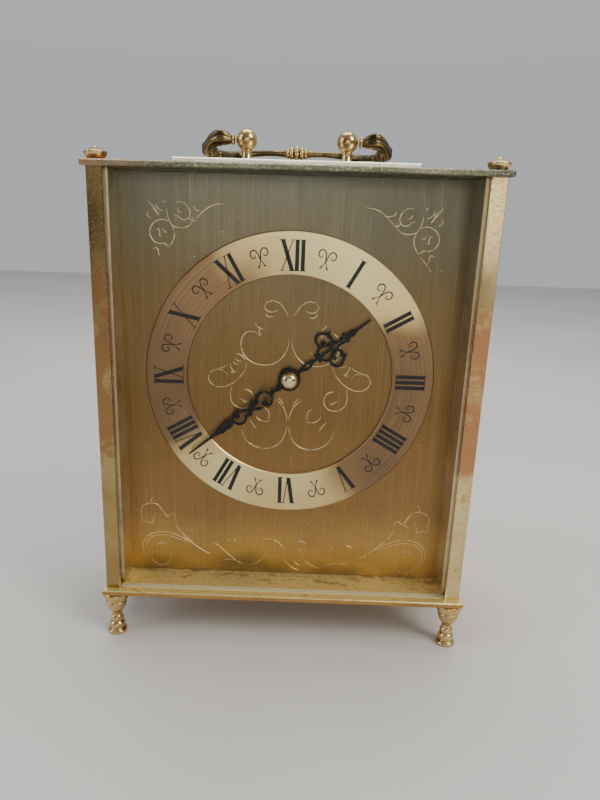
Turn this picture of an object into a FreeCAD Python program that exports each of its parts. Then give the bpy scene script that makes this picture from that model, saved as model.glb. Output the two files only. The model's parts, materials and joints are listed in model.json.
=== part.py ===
"""Brass mantel clock: a four-pillar brass case on turned feet, with a folding carrying handle on top,
a glazed front, an engraved dial with a raised chapter ring, scroll hands, a hinged back door and a
battery quartz movement.

Frame, in millimetres: +X to the right as one faces the dial, +Y to the back, +Z up. The origin is on the
table, under the middle of the case. Each sub-part is written to parts/NODE.step.
"""

import FreeCAD
import Part

import math
import os

V = FreeCAD.Vector
X_AXIS = V(1, 0, 0)
Y_AXIS = V(0, 1, 0)
Z_AXIS = V(0, 0, 1)

# ---------------------------------------------------------------- driving dimensions
PLATE_WIDTH = 135.0
PLATE_DEPTH = 64.0
PLATE_THICK = 2.0
PLATE_CHAMFER = 0.4
CASE_HEIGHT = 150.0  # clear height between the two plates
FOOT_HEIGHT = 18.3

PILLAR_WIDTH = 5.2  # along X
PILLAR_DEPTH = 6.0  # along Y
PILLAR_SIDE_MARGIN = 1.3  # plate edge to pillar face, at the sides
PILLAR_FRONT_MARGIN = 2.4  # plate edge to pillar face, at front and back

PANEL_THICK = 1.0
PANEL_GROOVE = 1.0
GLASS_THICK = 2.0
GLASS_INSET = 1.4  # pillar front face to glass front face
RAIL_THICK = 0.8
DIAL_INSET = 14.8  # pillar front face to dial front face
DIAL_THICK = 0.8
DIAL_CENTRE_ABOVE_BASE = 80.0
RING_OUTER_R = 52.2
RING_INNER_R = 37.2
RING_THICK = 1.1

STUD_R = 1.45
STUD_HOLE_R = 1.5
STUD_LENGTH = 7.0
STUD_HOLE_DEPTH = 8.0
GAP = 0.1  # clearance between parts that slide together

HANDLE_PLATE = (82.0, 40.0, 2.3)
POST_X = 17.7
POST_BALL_R = 3.7
POST_BALL_HEIGHT = 8.0  # ball centre above the handle plate
HANDLE_PIN_R = 1.05
HANDLE_HOLE_R = 1.12
HANDLE_REST_TILT = 4.0  # degrees below level, folded to the back

MINUTE_ANGLE = 231.1  # degrees clockwise from twelve
HOUR_ANGLE = 51.4
MINUTE_LENGTH = 46.7
HOUR_LENGTH = 36.0
HAND_THICK = 0.5

MODULE_HALF = 28.0  # half the side of the movement's square case
MODULE_DEPTH = 16.5
MODULE_WALL = 1.2

# ---------------------------------------------------------------- derived places
BASE_BOTTOM = FOOT_HEIGHT
BASE_TOP = BASE_BOTTOM + PLATE_THICK
CASE_TOP = BASE_TOP + CASE_HEIGHT
TOP_TOP = CASE_TOP + PLATE_THICK
HANDLE_PLATE_TOP = TOP_TOP + HANDLE_PLATE[2]
HALF_W = PLATE_WIDTH / 2
HALF_D = PLATE_DEPTH / 2

PILLAR_OUT = HALF_W - PILLAR_SIDE_MARGIN
PILLAR_IN = PILLAR_OUT - PILLAR_WIDTH
PILLAR_X = (PILLAR_OUT + PILLAR_IN) / 2
PILLAR_FRONT = HALF_D - PILLAR_FRONT_MARGIN  # distance of the outer Y face from the middle
PILLAR_Y = PILLAR_FRONT - PILLAR_DEPTH / 2
PILLAR_BACK = PILLAR_FRONT - PILLAR_DEPTH

GLASS_FRONT = -PILLAR_FRONT + GLASS_INSET
GLASS_BACK = GLASS_FRONT + GLASS_THICK
DIAL_FRONT = -PILLAR_FRONT + DIAL_INSET
DIAL_BACK = DIAL_FRONT + DIAL_THICK
DIAL_Z = BASE_TOP + DIAL_CENTRE_ABOVE_BASE
RING_FRONT = DIAL_FRONT - RING_THICK
PANEL_X = PILLAR_X - PANEL_THICK / 2  # inner face of a side panel

MODULE_FRONT = DIAL_BACK + 0.5
MODULE_BACK = MODULE_FRONT + MODULE_DEPTH
HOUR_HAND_Y = DIAL_FRONT - 1.4
MINUTE_HAND_Y = HOUR_HAND_Y - 1.6

HANDLE_Z = HANDLE_PLATE_TOP + POST_BALL_HEIGHT
SIDES = (("left", -1), ("right", 1))
ENDS = (("front", -1), ("back", 1))


# ---------------------------------------------------------------- helpers
def box(x0, x1, y0, y1, z0, z1):
    """A block between two values on each axis, given in any order."""
    x0, x1 = sorted((x0, x1))
    y0, y1 = sorted((y0, y1))
    z0, z1 = sorted((z0, z1))
    return Part.makeBox(x1 - x0, y1 - y0, z1 - z0, V(x0, y0, z0))


def rod(radius, start, end):
    """A round bar between two points."""
    along = end - start
    return Part.makeCylinder(radius, along.Length, start, along)


def rod_y(radius, x, z, y0, y1):
    y0, y1 = sorted((y0, y1))
    return Part.makeCylinder(radius, y1 - y0, V(x, y0, z), Y_AXIS)


def rod_z(radius, x, y, z0, z1):
    z0, z1 = sorted((z0, z1))
    return Part.makeCylinder(radius, z1 - z0, V(x, y, z0), Z_AXIS)


def tube_y(outer, inner, x, z, y0, y1):
    return rod_y(outer, x, z, y0, y1).cut(rod_y(inner, x, z, y0, y1))


def turned(profile):
    """A turned solid about +Z from (radius, height) points. A step with four numbers is an arc: its middle
    point, then its end."""
    edges = []
    last = V(profile[0][0], 0, profile[0][1])
    for step in profile[1:]:
        end = V(step[-2], 0, step[-1])
        if len(step) == 4:
            edges.append(Part.Arc(last, V(step[0], 0, step[1]), end).toShape())
        else:
            edges.append(Part.LineSegment(last, end).toShape())
        last = end
    first = V(profile[0][0], 0, profile[0][1])
    if (last - first).Length > 1e-6:
        edges.append(Part.LineSegment(last, first).toShape())
    return Part.Face(Part.Wire(edges)).revolve(V(0, 0, 0), Z_AXIS, 360)


def moved(shape, x=0.0, y=0.0, z=0.0):
    out = shape.copy()
    out.translate(V(x, y, z))
    return out


def turned_to(shape, axis, angle, at=V(0, 0, 0)):
    out = shape.copy()
    out.rotate(at, axis, angle)
    return out


def joined(shapes):
    """One solid from pieces that overlap."""
    out = shapes[0].multiFuse(shapes[1:]) if len(shapes) > 1 else shapes[0]
    return out.removeSplitter()


def chamfered_plate(x, y, z0, z1):
    """A plate about the Z axis with every long edge broken."""
    plate = box(-x, x, -y, y, z0, z1)
    return plate.makeChamfer(PLATE_CHAMFER, plate.Edges)


def hexagon_nut(across_flats, thick, hole_r):
    """A hexagon nut about +Z, its lower face at 0."""
    corner = across_flats / math.sqrt(3)
    points = [
        V(corner * math.cos(a), corner * math.sin(a), 0)
        for a in (math.radians(60 * i) for i in range(7))
    ]
    nut = Part.Face(Part.makePolygon(points)).extrude(V(0, 0, thick))
    cone = Part.makeCone(corner + thick * 0.6, corner - 0.25, thick * 1.0 + 0.4)
    return nut.common(cone).cut(rod_z(hole_r, 0, 0, -1, thick + 1))


def pan_screw(head_r, head_h, shank_r, length):
    """A cross-slotted screw about +Z, the head's bearing face at 0 and the shank below it."""
    head = turned([(0, 0), (head_r, 0), (head_r * 0.9, head_h * 0.8, 0, head_h)])
    slot = box(-head_r, head_r, -0.2, 0.2, head_h * 0.55, head_h + 1)
    cross = box(-0.2, 0.2, -head_r, head_r, head_h * 0.55, head_h + 1)
    return joined([head.cut(slot).cut(cross), rod_z(shank_r, 0, 0, -length, 0.05)])


# ---------------------------------------------------------------- case
def pillar_axes():
    for end, sy in ENDS:
        for side, sx in SIDES:
            yield f"{end}_{side}", sx * PILLAR_X, sy * PILLAR_Y, sx, sy


def base_plate():
    plate = chamfered_plate(HALF_W, HALF_D, BASE_BOTTOM, BASE_TOP)
    for _, x, y, _, _ in pillar_axes():
        plate = plate.cut(rod_z(STUD_HOLE_R, x, y, BASE_BOTTOM - 1, BASE_TOP + 1))
    plate = plate.cut(glass_groove(BASE_TOP - GLASS_SEAT, BASE_TOP + 1))
    return plate.cut(rod_z(DOOR_HOLE_R, DOOR_X, DOOR_Y, BASE_TOP - DOOR_PIN_SEAT, BASE_TOP + 1))


def top_plate():
    plate = chamfered_plate(HALF_W, HALF_D, CASE_TOP, TOP_TOP)
    for _, x, y, _, _ in pillar_axes():
        plate = plate.cut(rod_z(STUD_HOLE_R, x, y, CASE_TOP - 1, TOP_TOP + 1))
    for _, sx in SIDES:
        plate = plate.cut(rod_z(STUD_HOLE_R, sx * POST_X, 0, CASE_TOP - 1, TOP_TOP + 1))
    plate = plate.cut(glass_groove(CASE_TOP - 1, CASE_TOP + GLASS_SEAT))
    return plate.cut(rod_z(DOOR_HOLE_R, DOOR_X, DOOR_Y, CASE_TOP - 1, CASE_TOP + DOOR_PIN_SEAT))


GLASS_SEAT = 0.6  # depth of the groove that the glass stands in


def glass_groove(z0, z1):
    side = PILLAR_IN - GAP / 2
    return box(-side, side, GLASS_FRONT - GAP, GLASS_BACK + GAP, z0, z1)


def pillar(x, y, sx, sy):
    """A square brass pillar, drilled at both ends and grooved on the face that takes the side panel."""
    bar = box(
        sx * PILLAR_IN, sx * PILLAR_OUT, sy * PILLAR_BACK, sy * PILLAR_FRONT, BASE_TOP, CASE_TOP
    )
    upright = [e for e in bar.Edges if abs(e.Vertexes[0].Z - e.Vertexes[1].Z) > 1]
    bar = bar.makeChamfer(0.25, upright)
    bar = bar.cut(rod_z(STUD_HOLE_R, x, y, BASE_TOP - 1, BASE_TOP + STUD_HOLE_DEPTH))
    bar = bar.cut(rod_z(STUD_HOLE_R, x, y, CASE_TOP - STUD_HOLE_DEPTH, CASE_TOP + 1))
    half = PANEL_THICK / 2 + GAP / 2
    inner = sy * (PILLAR_BACK + PANEL_GROOVE)
    return bar.cut(box(x - half, x + half, sy * (PILLAR_BACK - 1), inner, BASE_TOP - 1, CASE_TOP + 1))


def side_panel(sx):
    reach = PILLAR_BACK + PANEL_GROOVE - GAP
    inner = sx * PANEL_X
    return box(inner, inner + sx * PANEL_THICK, -reach, reach, BASE_TOP, CASE_TOP)


def foot(x, y):
    """A turned foot: rounded pad, two beads, a full cup and a thick collar, with the pillar's stud."""
    body = turned(
        [
            (0, 0),
            (3.15, 0),
            (3.5, 0.18, 3.62, 0.55),
            (3.5, 1.2, 2.75, 1.65),
            (2.95, 3.1, 2.4, 4.7),
            (2.2, 4.85),
            (2.5, 5.9, 1.95, 7.3),
            (1.85, 8.2),
            (3.25, 10.7, 4.0, 13.4),
            (3.85, 13.9),
            (3.85, 14.1),
            (4.2, 14.15),
            (4.72, 15.9, 4.2, 17.6),
            (3.9, 17.65),
            (3.9, FOOT_HEIGHT),
            (0, FOOT_HEIGHT),
        ]
    )
    stud = rod_z(STUD_R, 0, 0, FOOT_HEIGHT - 1, BASE_TOP + STUD_LENGTH)
    return moved(joined([body, stud]), x, y)


def finial(x, y):
    """A flattened onion nut whose stud goes down through the top plate into the pillar."""
    body = turned(
        [
            (0, 0),
            (2.35, 0),
            (3.3, 1.0, 3.72, 2.3),
            (3.68, 2.55),
            (1.7, 3.45, 0.45, 4.2),
            (0, 4.3),
        ]
    )
    stud = rod_z(STUD_R, 0, 0, -PLATE_THICK - STUD_LENGTH, 0.5)
    return moved(joined([body, stud]), x, y, TOP_TOP)


def glass_rail(sx):
    """An angle strip that backs the glass and carries the dial on its rear flange."""
    near = sx * (PILLAR_IN - RAIL_THICK)
    web = box(near, sx * (PILLAR_IN - 0.02), GLASS_BACK, DIAL_FRONT, BASE_TOP, CASE_TOP)
    flange = box(near, sx * (PANEL_X - 0.2), DIAL_FRONT - RAIL_THICK, DIAL_FRONT, BASE_TOP, CASE_TOP)
    rail = joined([web, flange])
    for z in DIAL_SCREW_Z:
        rail = rail.cut(rod_y(DIAL_SCREW_R + 0.03, sx * DIAL_SCREW_X, z, DIAL_FRONT - 1, DIAL_FRONT + 1))
    return rail


DIAL_SCREW_R = 0.45
DIAL_SCREW_X = PILLAR_IN + 0.95
DIAL_SCREW_Z = (BASE_TOP + 22.0, CASE_TOP - 22.0)


def front_glass():
    side = PILLAR_IN - GAP
    pane = box(-side, side, GLASS_FRONT, GLASS_BACK, BASE_TOP - GLASS_SEAT + GAP, CASE_TOP + GLASS_SEAT / 2)
    return pane.makeChamfer(0.3, pane.Edges)


# ---------------------------------------------------------------- handle
def handle_plate():
    x, y, z = HANDLE_PLATE
    plate = chamfered_plate(x / 2, y / 2, TOP_TOP, HANDLE_PLATE_TOP)
    for _, sx in SIDES:
        plate = plate.cut(rod_z(STUD_HOLE_R, sx * POST_X, 0, TOP_TOP - 1, HANDLE_PLATE_TOP + 1))
    return plate


POST_NUT = (5.0, 1.8)  # across flats, thickness
POST_STUD_BELOW = 2.6  # how far a post's stud comes out under the top plate


def handle_post(sx):
    """A ball on a flared neck, bored on its outer side for the handle's pivot."""
    neck = turned(
        [
            (0, 0),
            (3.1, 0),
            (3.1, 0.7),
            (2.1, 1.5, 1.75, 2.6),
            (1.5, 4.0),
            (1.5, 5.5),
            (0, 5.5),
        ]
    )
    ball = Part.makeSphere(POST_BALL_R, V(0, 0, POST_BALL_HEIGHT))
    stud = rod_z(STUD_R, 0, 0, -HANDLE_PLATE[2] - PLATE_THICK - POST_STUD_BELOW, 0.5)
    post = moved(joined([neck, ball, stud]), sx * POST_X, 0, HANDLE_PLATE_TOP)
    inner = V(sx * (POST_X - 0.6), 0, HANDLE_Z)
    return post.cut(rod(HANDLE_HOLE_R, inner, V(sx * (POST_X + 6), 0, HANDLE_Z)))


def post_nuts():
    nut = hexagon_nut(POST_NUT[0], POST_NUT[1], STUD_R + 0.04)
    return Part.makeCompound([moved(nut, sx * POST_X, 0, CASE_TOP - POST_NUT[1]) for _, sx in SIDES])


# The middle line of the right arm and half of the grip: X, Y and Z from the pivot, and the radius. It swells
# just outside the ball, dips as it comes round to the back, and rises again to the grip.
ARM = (
    (22.2, 0.0, 0.0, 1.45),
    (24.6, -0.2, 0.2, 1.95),
    (27.2, -0.2, 0.4, 2.5),
    (30.0, 1.4, -0.5, 2.4),
    (31.9, 4.6, -1.7, 2.35),
    (32.2, 8.2, -2.7, 2.25),
    (30.8, 11.8, -3.1, 2.05),
    (28.4, 14.8, -3.0, 1.9),
    (26.6, 18.0, -2.6, 1.75),
    (24.4, 21.2, -1.9, 1.6),
    (21.0, 23.6, -1.0, 1.5),
    (17.0, 24.7, -0.3, 1.35),
    (11.0, 24.8, 0.0, 1.15),
    (6.0, 24.8, 0.0, 1.3),
    (2.0, 24.8, 0.0, 1.9),
)
GRIP_Y = 24.8
BAR_SIDES = 14


def faceted_bar(stations):
    """A bar with flat facets through stations of X, Y, Z and radius."""
    centres = [V(x, y, z) for x, y, z, _ in stations]
    rings = []
    for i, (x, y, z, radius) in enumerate(stations):
        along = (centres[min(i + 1, len(centres) - 1)] - centres[max(i - 1, 0)]).normalize()
        side = along.cross(Z_AXIS).normalize() * radius
        up = side.cross(along)
        turns = [2 * math.pi * k / BAR_SIDES for k in range(BAR_SIDES)]
        rings.append([V(x, y, z) + side * math.cos(a) + up * math.sin(a) for a in turns])
    faces = [Part.Face(Part.makePolygon(ring + ring[:1])) for ring in (rings[0], rings[-1])]
    for low, high in zip(rings, rings[1:]):
        for k in range(BAR_SIDES):
            n = (k + 1) % BAR_SIDES
            for corner in ((low[k], low[n], high[n]), (low[k], high[n], high[k])):
                faces.append(Part.Face(Part.makePolygon(list(corner) + [corner[0]])))
    solid = Part.Solid(Part.makeShell(faces))
    return solid if solid.Volume > 0 else solid.reversed()


def bead_x(radius, half_width, x, y):
    """A rounded ring about a line along X."""
    profile = [
        (0, -half_width),
        (radius * 0.72, -half_width),
        (radius, 0, radius * 0.72, half_width),
        (0, half_width),
    ]
    bead = turned_to(turned(profile), Y_AXIS, 90)
    return moved(bead, x, y)


def handle():
    """The bail in one casting: pivot pins, swelling arms and a turned grip with a beaded middle."""
    mirrored = [(-x, y, z, radius) for x, y, z, radius in reversed(ARM)]
    pieces = [faceted_bar(list(ARM) + mirrored)]
    shoulder = POST_X + POST_BALL_R + 0.3
    for _, sx in SIDES:
        pieces.append(rod(HANDLE_PIN_R, V(sx * (POST_X - 0.2), 0, 0), V(sx * (shoulder + 1.5), 0, 0)))
        pieces.append(bead_x(2.0, 0.55, sx * (shoulder + 0.9), 0))
    for x, radius, half_width in ((0, 2.9, 1.0), (2.0, 2.5, 0.9), (3.6, 2.0, 0.6)):
        pieces += [bead_x(radius, half_width, side * x, GRIP_Y) for side in (1, -1) if x or side > 0]
    bail = turned_to(joined(pieces), X_AXIS, -HANDLE_REST_TILT)
    return moved(bail, 0, 0, HANDLE_Z)


# ---------------------------------------------------------------- back door
DOOR_THICK = 1.5
DOOR_HALF = PILLAR_IN - 0.6
DOOR_X = -(PILLAR_IN - 3.0)
DOOR_Y = PILLAR_Y + 0.15
DOOR_PIN_R = 1.0
DOOR_HOLE_R = 1.06
DOOR_PIN_SEAT = 1.5
DOOR_GAP = 0.5
DOOR_KNOB_X = 52.0
DOOR_MID_Z = (BASE_TOP + CASE_TOP) / 2
KNUCKLE = (2.0, 1.55, 6.0)  # half width, half depth and height of a hinge block


def back_door():
    z0, z1 = BASE_TOP + DOOR_GAP, CASE_TOP - DOOR_GAP
    leaf = box(-DOOR_HALF, DOOR_HALF, DOOR_Y - DOOR_THICK / 2, DOOR_Y + DOOR_THICK / 2, z0, z1)
    x, y, h = KNUCKLE
    blocks = [
        box(DOOR_X - x, DOOR_X + x, DOOR_Y - y, DOOR_Y + y, z0, z0 + h),
        box(DOOR_X - x, DOOR_X + x, DOOR_Y - y, DOOR_Y + y, z1 - h, z1),
    ]
    door = joined([leaf] + blocks)
    door = door.cut(rod_z(DOOR_PIN_R + 0.01, DOOR_X, DOOR_Y, z0 - 1, z0 + 4))
    door = door.cut(rod_z(DOOR_PIN_R + 0.01, DOOR_X, DOOR_Y, z1 - 4, z1 + 1))
    return door.cut(rod_y(0.8, DOOR_KNOB_X, DOOR_MID_Z, DOOR_Y - 2, DOOR_Y + 2))


def door_pins():
    reach = DOOR_PIN_SEAT - GAP
    low = rod_z(DOOR_PIN_R, DOOR_X, DOOR_Y, BASE_TOP - reach, BASE_TOP + DOOR_GAP + 3.8)
    high = rod_z(DOOR_PIN_R, DOOR_X, DOOR_Y, CASE_TOP - DOOR_GAP - 3.8, CASE_TOP + reach)
    return Part.makeCompound([low, high])


def door_knob():
    """A turned pull whose screwed end goes through the door."""
    knob = turned(
        [
            (0, 0),
            (2.6, 0),
            (2.6, 0.4),
            (1.5, 0.9, 1.6, 1.6),
            (3.1, 2.1, 3.1, 3.0),
            (2.4, 3.9, 0.4, 4.2),
            (0, 4.2),
        ]
    )
    shank = rod_z(0.77, 0, 0, -DOOR_THICK - 0.6, 0.2)
    whole = turned_to(joined([knob, shank]), X_AXIS, -90)
    return moved(whole, DOOR_KNOB_X, DOOR_Y + DOOR_THICK / 2, DOOR_MID_Z)


def door_stop():
    """A block on the back right pillar that the closed door rests against, with a pocket for the magnet."""
    face = DOOR_Y - DOOR_THICK / 2 - 0.05
    block = box(PILLAR_IN - 6.0, PILLAR_IN - 0.02, face - 5.0, face, DOOR_MID_Z - 6, DOOR_MID_Z + 6)
    return block.cut(rod_y(MAGNET_R + 0.02, PILLAR_IN - 3.0, DOOR_MID_Z, face - 3.0, face + 1))


MAGNET_R = 2.0


def door_magnet():
    face = DOOR_Y - DOOR_THICK / 2 - 0.1
    return rod_y(MAGNET_R, PILLAR_IN - 3.0, DOOR_MID_Z, face - 2.9, face)


# ---------------------------------------------------------------- dial
def dial_plate():
    """The engraved dial, with two studs soldered on its back for the movement."""
    side = PANEL_X - 0.5
    plate = box(-side, side, DIAL_FRONT, DIAL_BACK, BASE_TOP + 0.1, CASE_TOP - 0.1)
    plate = plate.cut(rod_y(BUSH_R + 0.3, 0, DIAL_Z, DIAL_FRONT - 1, DIAL_BACK + 1))
    for _, sx in SIDES:
        for z in DIAL_SCREW_Z:
            plate = plate.cut(
                rod_y(DIAL_SCREW_R + 0.1, sx * DIAL_SCREW_X, z, DIAL_FRONT - 1, DIAL_BACK + 1)
            )
    studs = [rod_y(LUG_STUD_R, sx * LUG_X, DIAL_Z, DIAL_BACK - 0.4, DIAL_BACK + 5.5) for _, sx in SIDES]
    return joined([plate] + studs)


def dial_screws():
    screw = pan_screw(0.85, 0.6, DIAL_SCREW_R, DIAL_THICK + RAIL_THICK)
    screw = turned_to(screw, X_AXIS, -90)
    places = [(sx * DIAL_SCREW_X, z) for _, sx in SIDES for z in DIAL_SCREW_Z]
    return Part.makeCompound([moved(screw, x, DIAL_BACK, z) for x, z in places])


def chapter_ring():
    """The raised ring that carries the numerals, with a stepped outer rim."""
    profile = [
        (RING_INNER_R, 0),
        (RING_OUTER_R, 0),
        (RING_OUTER_R, RING_THICK - 0.35),
        (RING_OUTER_R - 0.35, RING_THICK),
        (RING_INNER_R + 0.2, RING_THICK),
        (RING_INNER_R, RING_THICK - 0.2),
    ]
    return moved(turned_to(turned(profile), X_AXIS, 90), 0, DIAL_FRONT, DIAL_Z)


# ---------------------------------------------------------------- hands
def flat(face):
    """Thickens a face drawn in the XY plane."""
    return face.extrude(V(0, 0, HAND_THICK))


def disc(x, y, r):
    return flat(Part.Face(Part.Wire(Part.makeCircle(r, V(x, y, 0)))))


def scroll_arc(x, y, r, start, end, width):
    """A bar bent to an arc about (x, y), with round ends, from one angle to another in degrees."""
    out, low = r + width / 2, r - width / 2
    a0, a1 = sorted((start, end))
    middle = math.radians((a0 + a1) / 2)

    def on(radius, angle):
        return V(x + radius * math.cos(angle), y + radius * math.sin(angle), 0)

    s, e = math.radians(a0), math.radians(a1)
    edges = [
        Part.Arc(on(out, s), on(out, middle), on(out, e)).toShape(),
        Part.LineSegment(on(out, e), on(low, e)).toShape(),
        Part.Arc(on(low, e), on(low, middle), on(low, s)).toShape(),
        Part.LineSegment(on(low, s), on(out, s)).toShape(),
    ]
    ends = [disc(on(r, s).x, on(r, s).y, width / 2), disc(on(r, e).x, on(r, e).y, width / 2)]
    return [flat(Part.Face(Part.Wire(edges)))] + ends


def leaf(start, end, width, swell=0.5):
    """A pointed leaf between two points, widest at a share of its length."""
    a, b = V(*start, 0), V(*end, 0)
    along = b - a
    side = V(-along.y, along.x, 0).normalize() * (width / 2)
    left = a + along * swell + side
    right = a + along * swell - side
    edges = [
        Part.Arc(a, a + along * (swell / 2) + side * 0.8, left).toShape(),
        Part.Arc(left, a + along * ((1 + swell) / 2) + side * 0.62, b).toShape(),
        Part.Arc(b, a + along * ((1 + swell) / 2) - side * 0.62, right).toShape(),
        Part.Arc(right, a + along * (swell / 2) - side * 0.8, a).toShape(),
    ]
    return flat(Part.Face(Part.Wire(edges)))


def taper(x0, x1, w0, w1):
    """A straight bar along X whose width changes from w0 to w1."""
    points = [V(x0, -w0 / 2, 0), V(x1, -w1 / 2, 0), V(x1, w1 / 2, 0), V(x0, w0 / 2, 0), V(x0, -w0 / 2, 0)]
    return flat(Part.Face(Part.makePolygon(points)))


HUB_R = 4.0


def minute_blank():
    """The minute hand drawn along +X from the pivot: two open scrolls, leaves and a long point."""
    pieces = [
        disc(0, 0, HUB_R),
        taper(3.0, 8.6, 1.1, 0.9),
        leaf((2.6, 0), (7.2, 0), 2.3),
        leaf((7.3, -1.3), (7.7, 1.3), 0.95),
        disc(12.2, 1.5, 1.15),
        leaf((13.0, -1.9), (17.8, 0.8), 1.7),
        leaf((14.9, -2.7), (19.7, 2.8), 2.0),
        leaf((16.8, 0.0), (21.6, 2.2), 1.5),
        disc(17.4, 0.1, 1.3),
        leaf((13.5, 2.5), (17.4, 0.8), 1.3),
        leaf((18.0, -0.2), (22.0, -1.3), 1.25),
        disc(23.3, -0.8, 1.05),
        leaf((25.4, 0), (38.2, 0), 2.7, 0.28),
        leaf((26.0, 0.4), (29.0, 1.6), 0.9),
        leaf((26.0, -0.4), (29.0, -1.6), 0.9),
        leaf((28.8, 0.4), (32.2, 1.5), 0.9),
        leaf((28.8, -0.4), (32.2, -1.5), 0.9),
        taper(27.0, 37.8, 1.3, 0.95),
        taper(37.0, MINUTE_LENGTH, 0.95, 0.6),
    ]
    pieces += scroll_arc(11.4, 0.25, 2.8, -285, -15, 0.9)
    pieces += scroll_arc(23.1, 0.25, 2.45, -118, 165, 0.9)
    return pieces


def hour_blank():
    """The hour hand drawn along +X from the pivot: a pierced bud, paired scrolls and an arrow point."""
    bud = leaf((4.7, 0), (11.8, 0), 2.7).cut(leaf((6.5, 0), (10.1, 0), 1.0))
    pieces = [
        disc(0, 0, HUB_R),
        taper(3.0, 6.0, 1.2, 1.0),
        bud,
        taper(10.6, 13.4, 0.9, 1.2),
        leaf((12.5, -2.1), (14.2, 2.1), 1.4),
        leaf((12.5, 2.1), (14.2, -2.1), 1.4),
        taper(13.0, 19.2, 1.0, 0.9),
        leaf((25.2, 0), (31.2, 0), 2.0, 0.4),
        taper(24.6, HOUR_LENGTH, 1.0, 0.55),
    ]
    for side in (1, -1):
        pieces += scroll_arc(17.6, side * 3.6, 3.45, *sorted((side * -78, side * 42)), 0.9)
        pieces += scroll_arc(18.0, side * 4.45, 2.35, *sorted((side * 25, side * 200)), 0.9)
        pieces += scroll_arc(16.9, side * 3.75, 1.15, *sorted((side * 185, side * 315)), 0.9)
        pieces += scroll_arc(15.8, side * 0.75, 1.95, *sorted((side * 40, side * 178)), 0.85)
        pieces += [
            disc(17.7, side * 3.45, 0.75),
            leaf((19.8, side * 3.6), (22.4, side * 5.5), 1.1),
            leaf((16.2, side * 2.45), (23.4, side * 0.3), 1.15),
            leaf((21.2, side * 0.4), (25.8, side * 1.1), 0.85),
            disc(25.4, side * 1.1, 0.75),
            leaf((26.4, side * 0.3), (29.2, side * 1.15), 0.8),
        ]
    return pieces


def placed_hand(pieces, hole_r, y, clock_angle):
    """Stands a hand that was drawn along +X up on the dial, at an angle clockwise from twelve."""
    blank = joined(pieces).cut(rod_z(hole_r, 0, 0, -1, 2))
    upright = turned_to(blank, X_AXIS, 90)  # drawn side to the front
    turned_hand = turned_to(upright, Y_AXIS, clock_angle - 90)
    return moved(turned_hand, 0, y, DIAL_Z)


def hour_hand():
    """The hour hand with the collet that grips the hour tube."""
    hand = placed_hand(hour_blank(), HOUR_TUBE_R + 0.02, HOUR_HAND_Y, HOUR_ANGLE)
    collet = tube_y(HUB_R - 0.6, HOUR_TUBE_R + 0.02, 0, DIAL_Z, HOUR_HAND_Y - 0.1, HOUR_HAND_Y + 0.6)
    return joined([hand, collet])


def minute_hand():
    hand = placed_hand(minute_blank(), MINUTE_ARBOR_R + 0.02, MINUTE_HAND_Y, MINUTE_ANGLE)
    collet = tube_y(HUB_R - 1.0, MINUTE_ARBOR_R + 0.02, 0, DIAL_Z, MINUTE_HAND_Y - 0.1, MINUTE_HAND_Y + 0.5)
    return joined([hand, collet])


def hand_cap():
    """The domed nut that closes the minute arbor."""
    dome = turned([(0, 0), (3.2, 0), (3.3, 0.3), (2.6, 2.05, 0.4, 2.9), (0, 2.9)])
    bored = dome.cut(rod_z(MINUTE_ARBOR_R + 0.02, 0, 0, -1, 1.8))
    return moved(turned_to(bored, X_AXIS, 90), 0, MINUTE_HAND_Y - HAND_THICK - 0.03, DIAL_Z)


# ---------------------------------------------------------------- movement case
BUSH_R = 3.8
BUSH_HOLE_R = 2.5
LUG_X = 31.5
LUG_STUD_R = 1.0
SPLIT_Y = MODULE_FRONT + 12.4  # where the front and back halves of the movement's case meet
BATTERY_R = 7.05
BATTERY_LENGTH = 50.3
BATTERY_Y = MODULE_FRONT + 8.4
BATTERY_Z = DIAL_Z - 19.2
BAY_TOP = DIAL_Z - 11.0  # the wall between the wheels and the battery
BRIDGE_Y = MODULE_FRONT + 11.2
BRIDGE_THICK = 1.0


def module_box(inset, y0, y1):
    half = MODULE_HALF - inset
    return box(-half, half, y0, y1, DIAL_Z - half, DIAL_Z + half)


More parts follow.
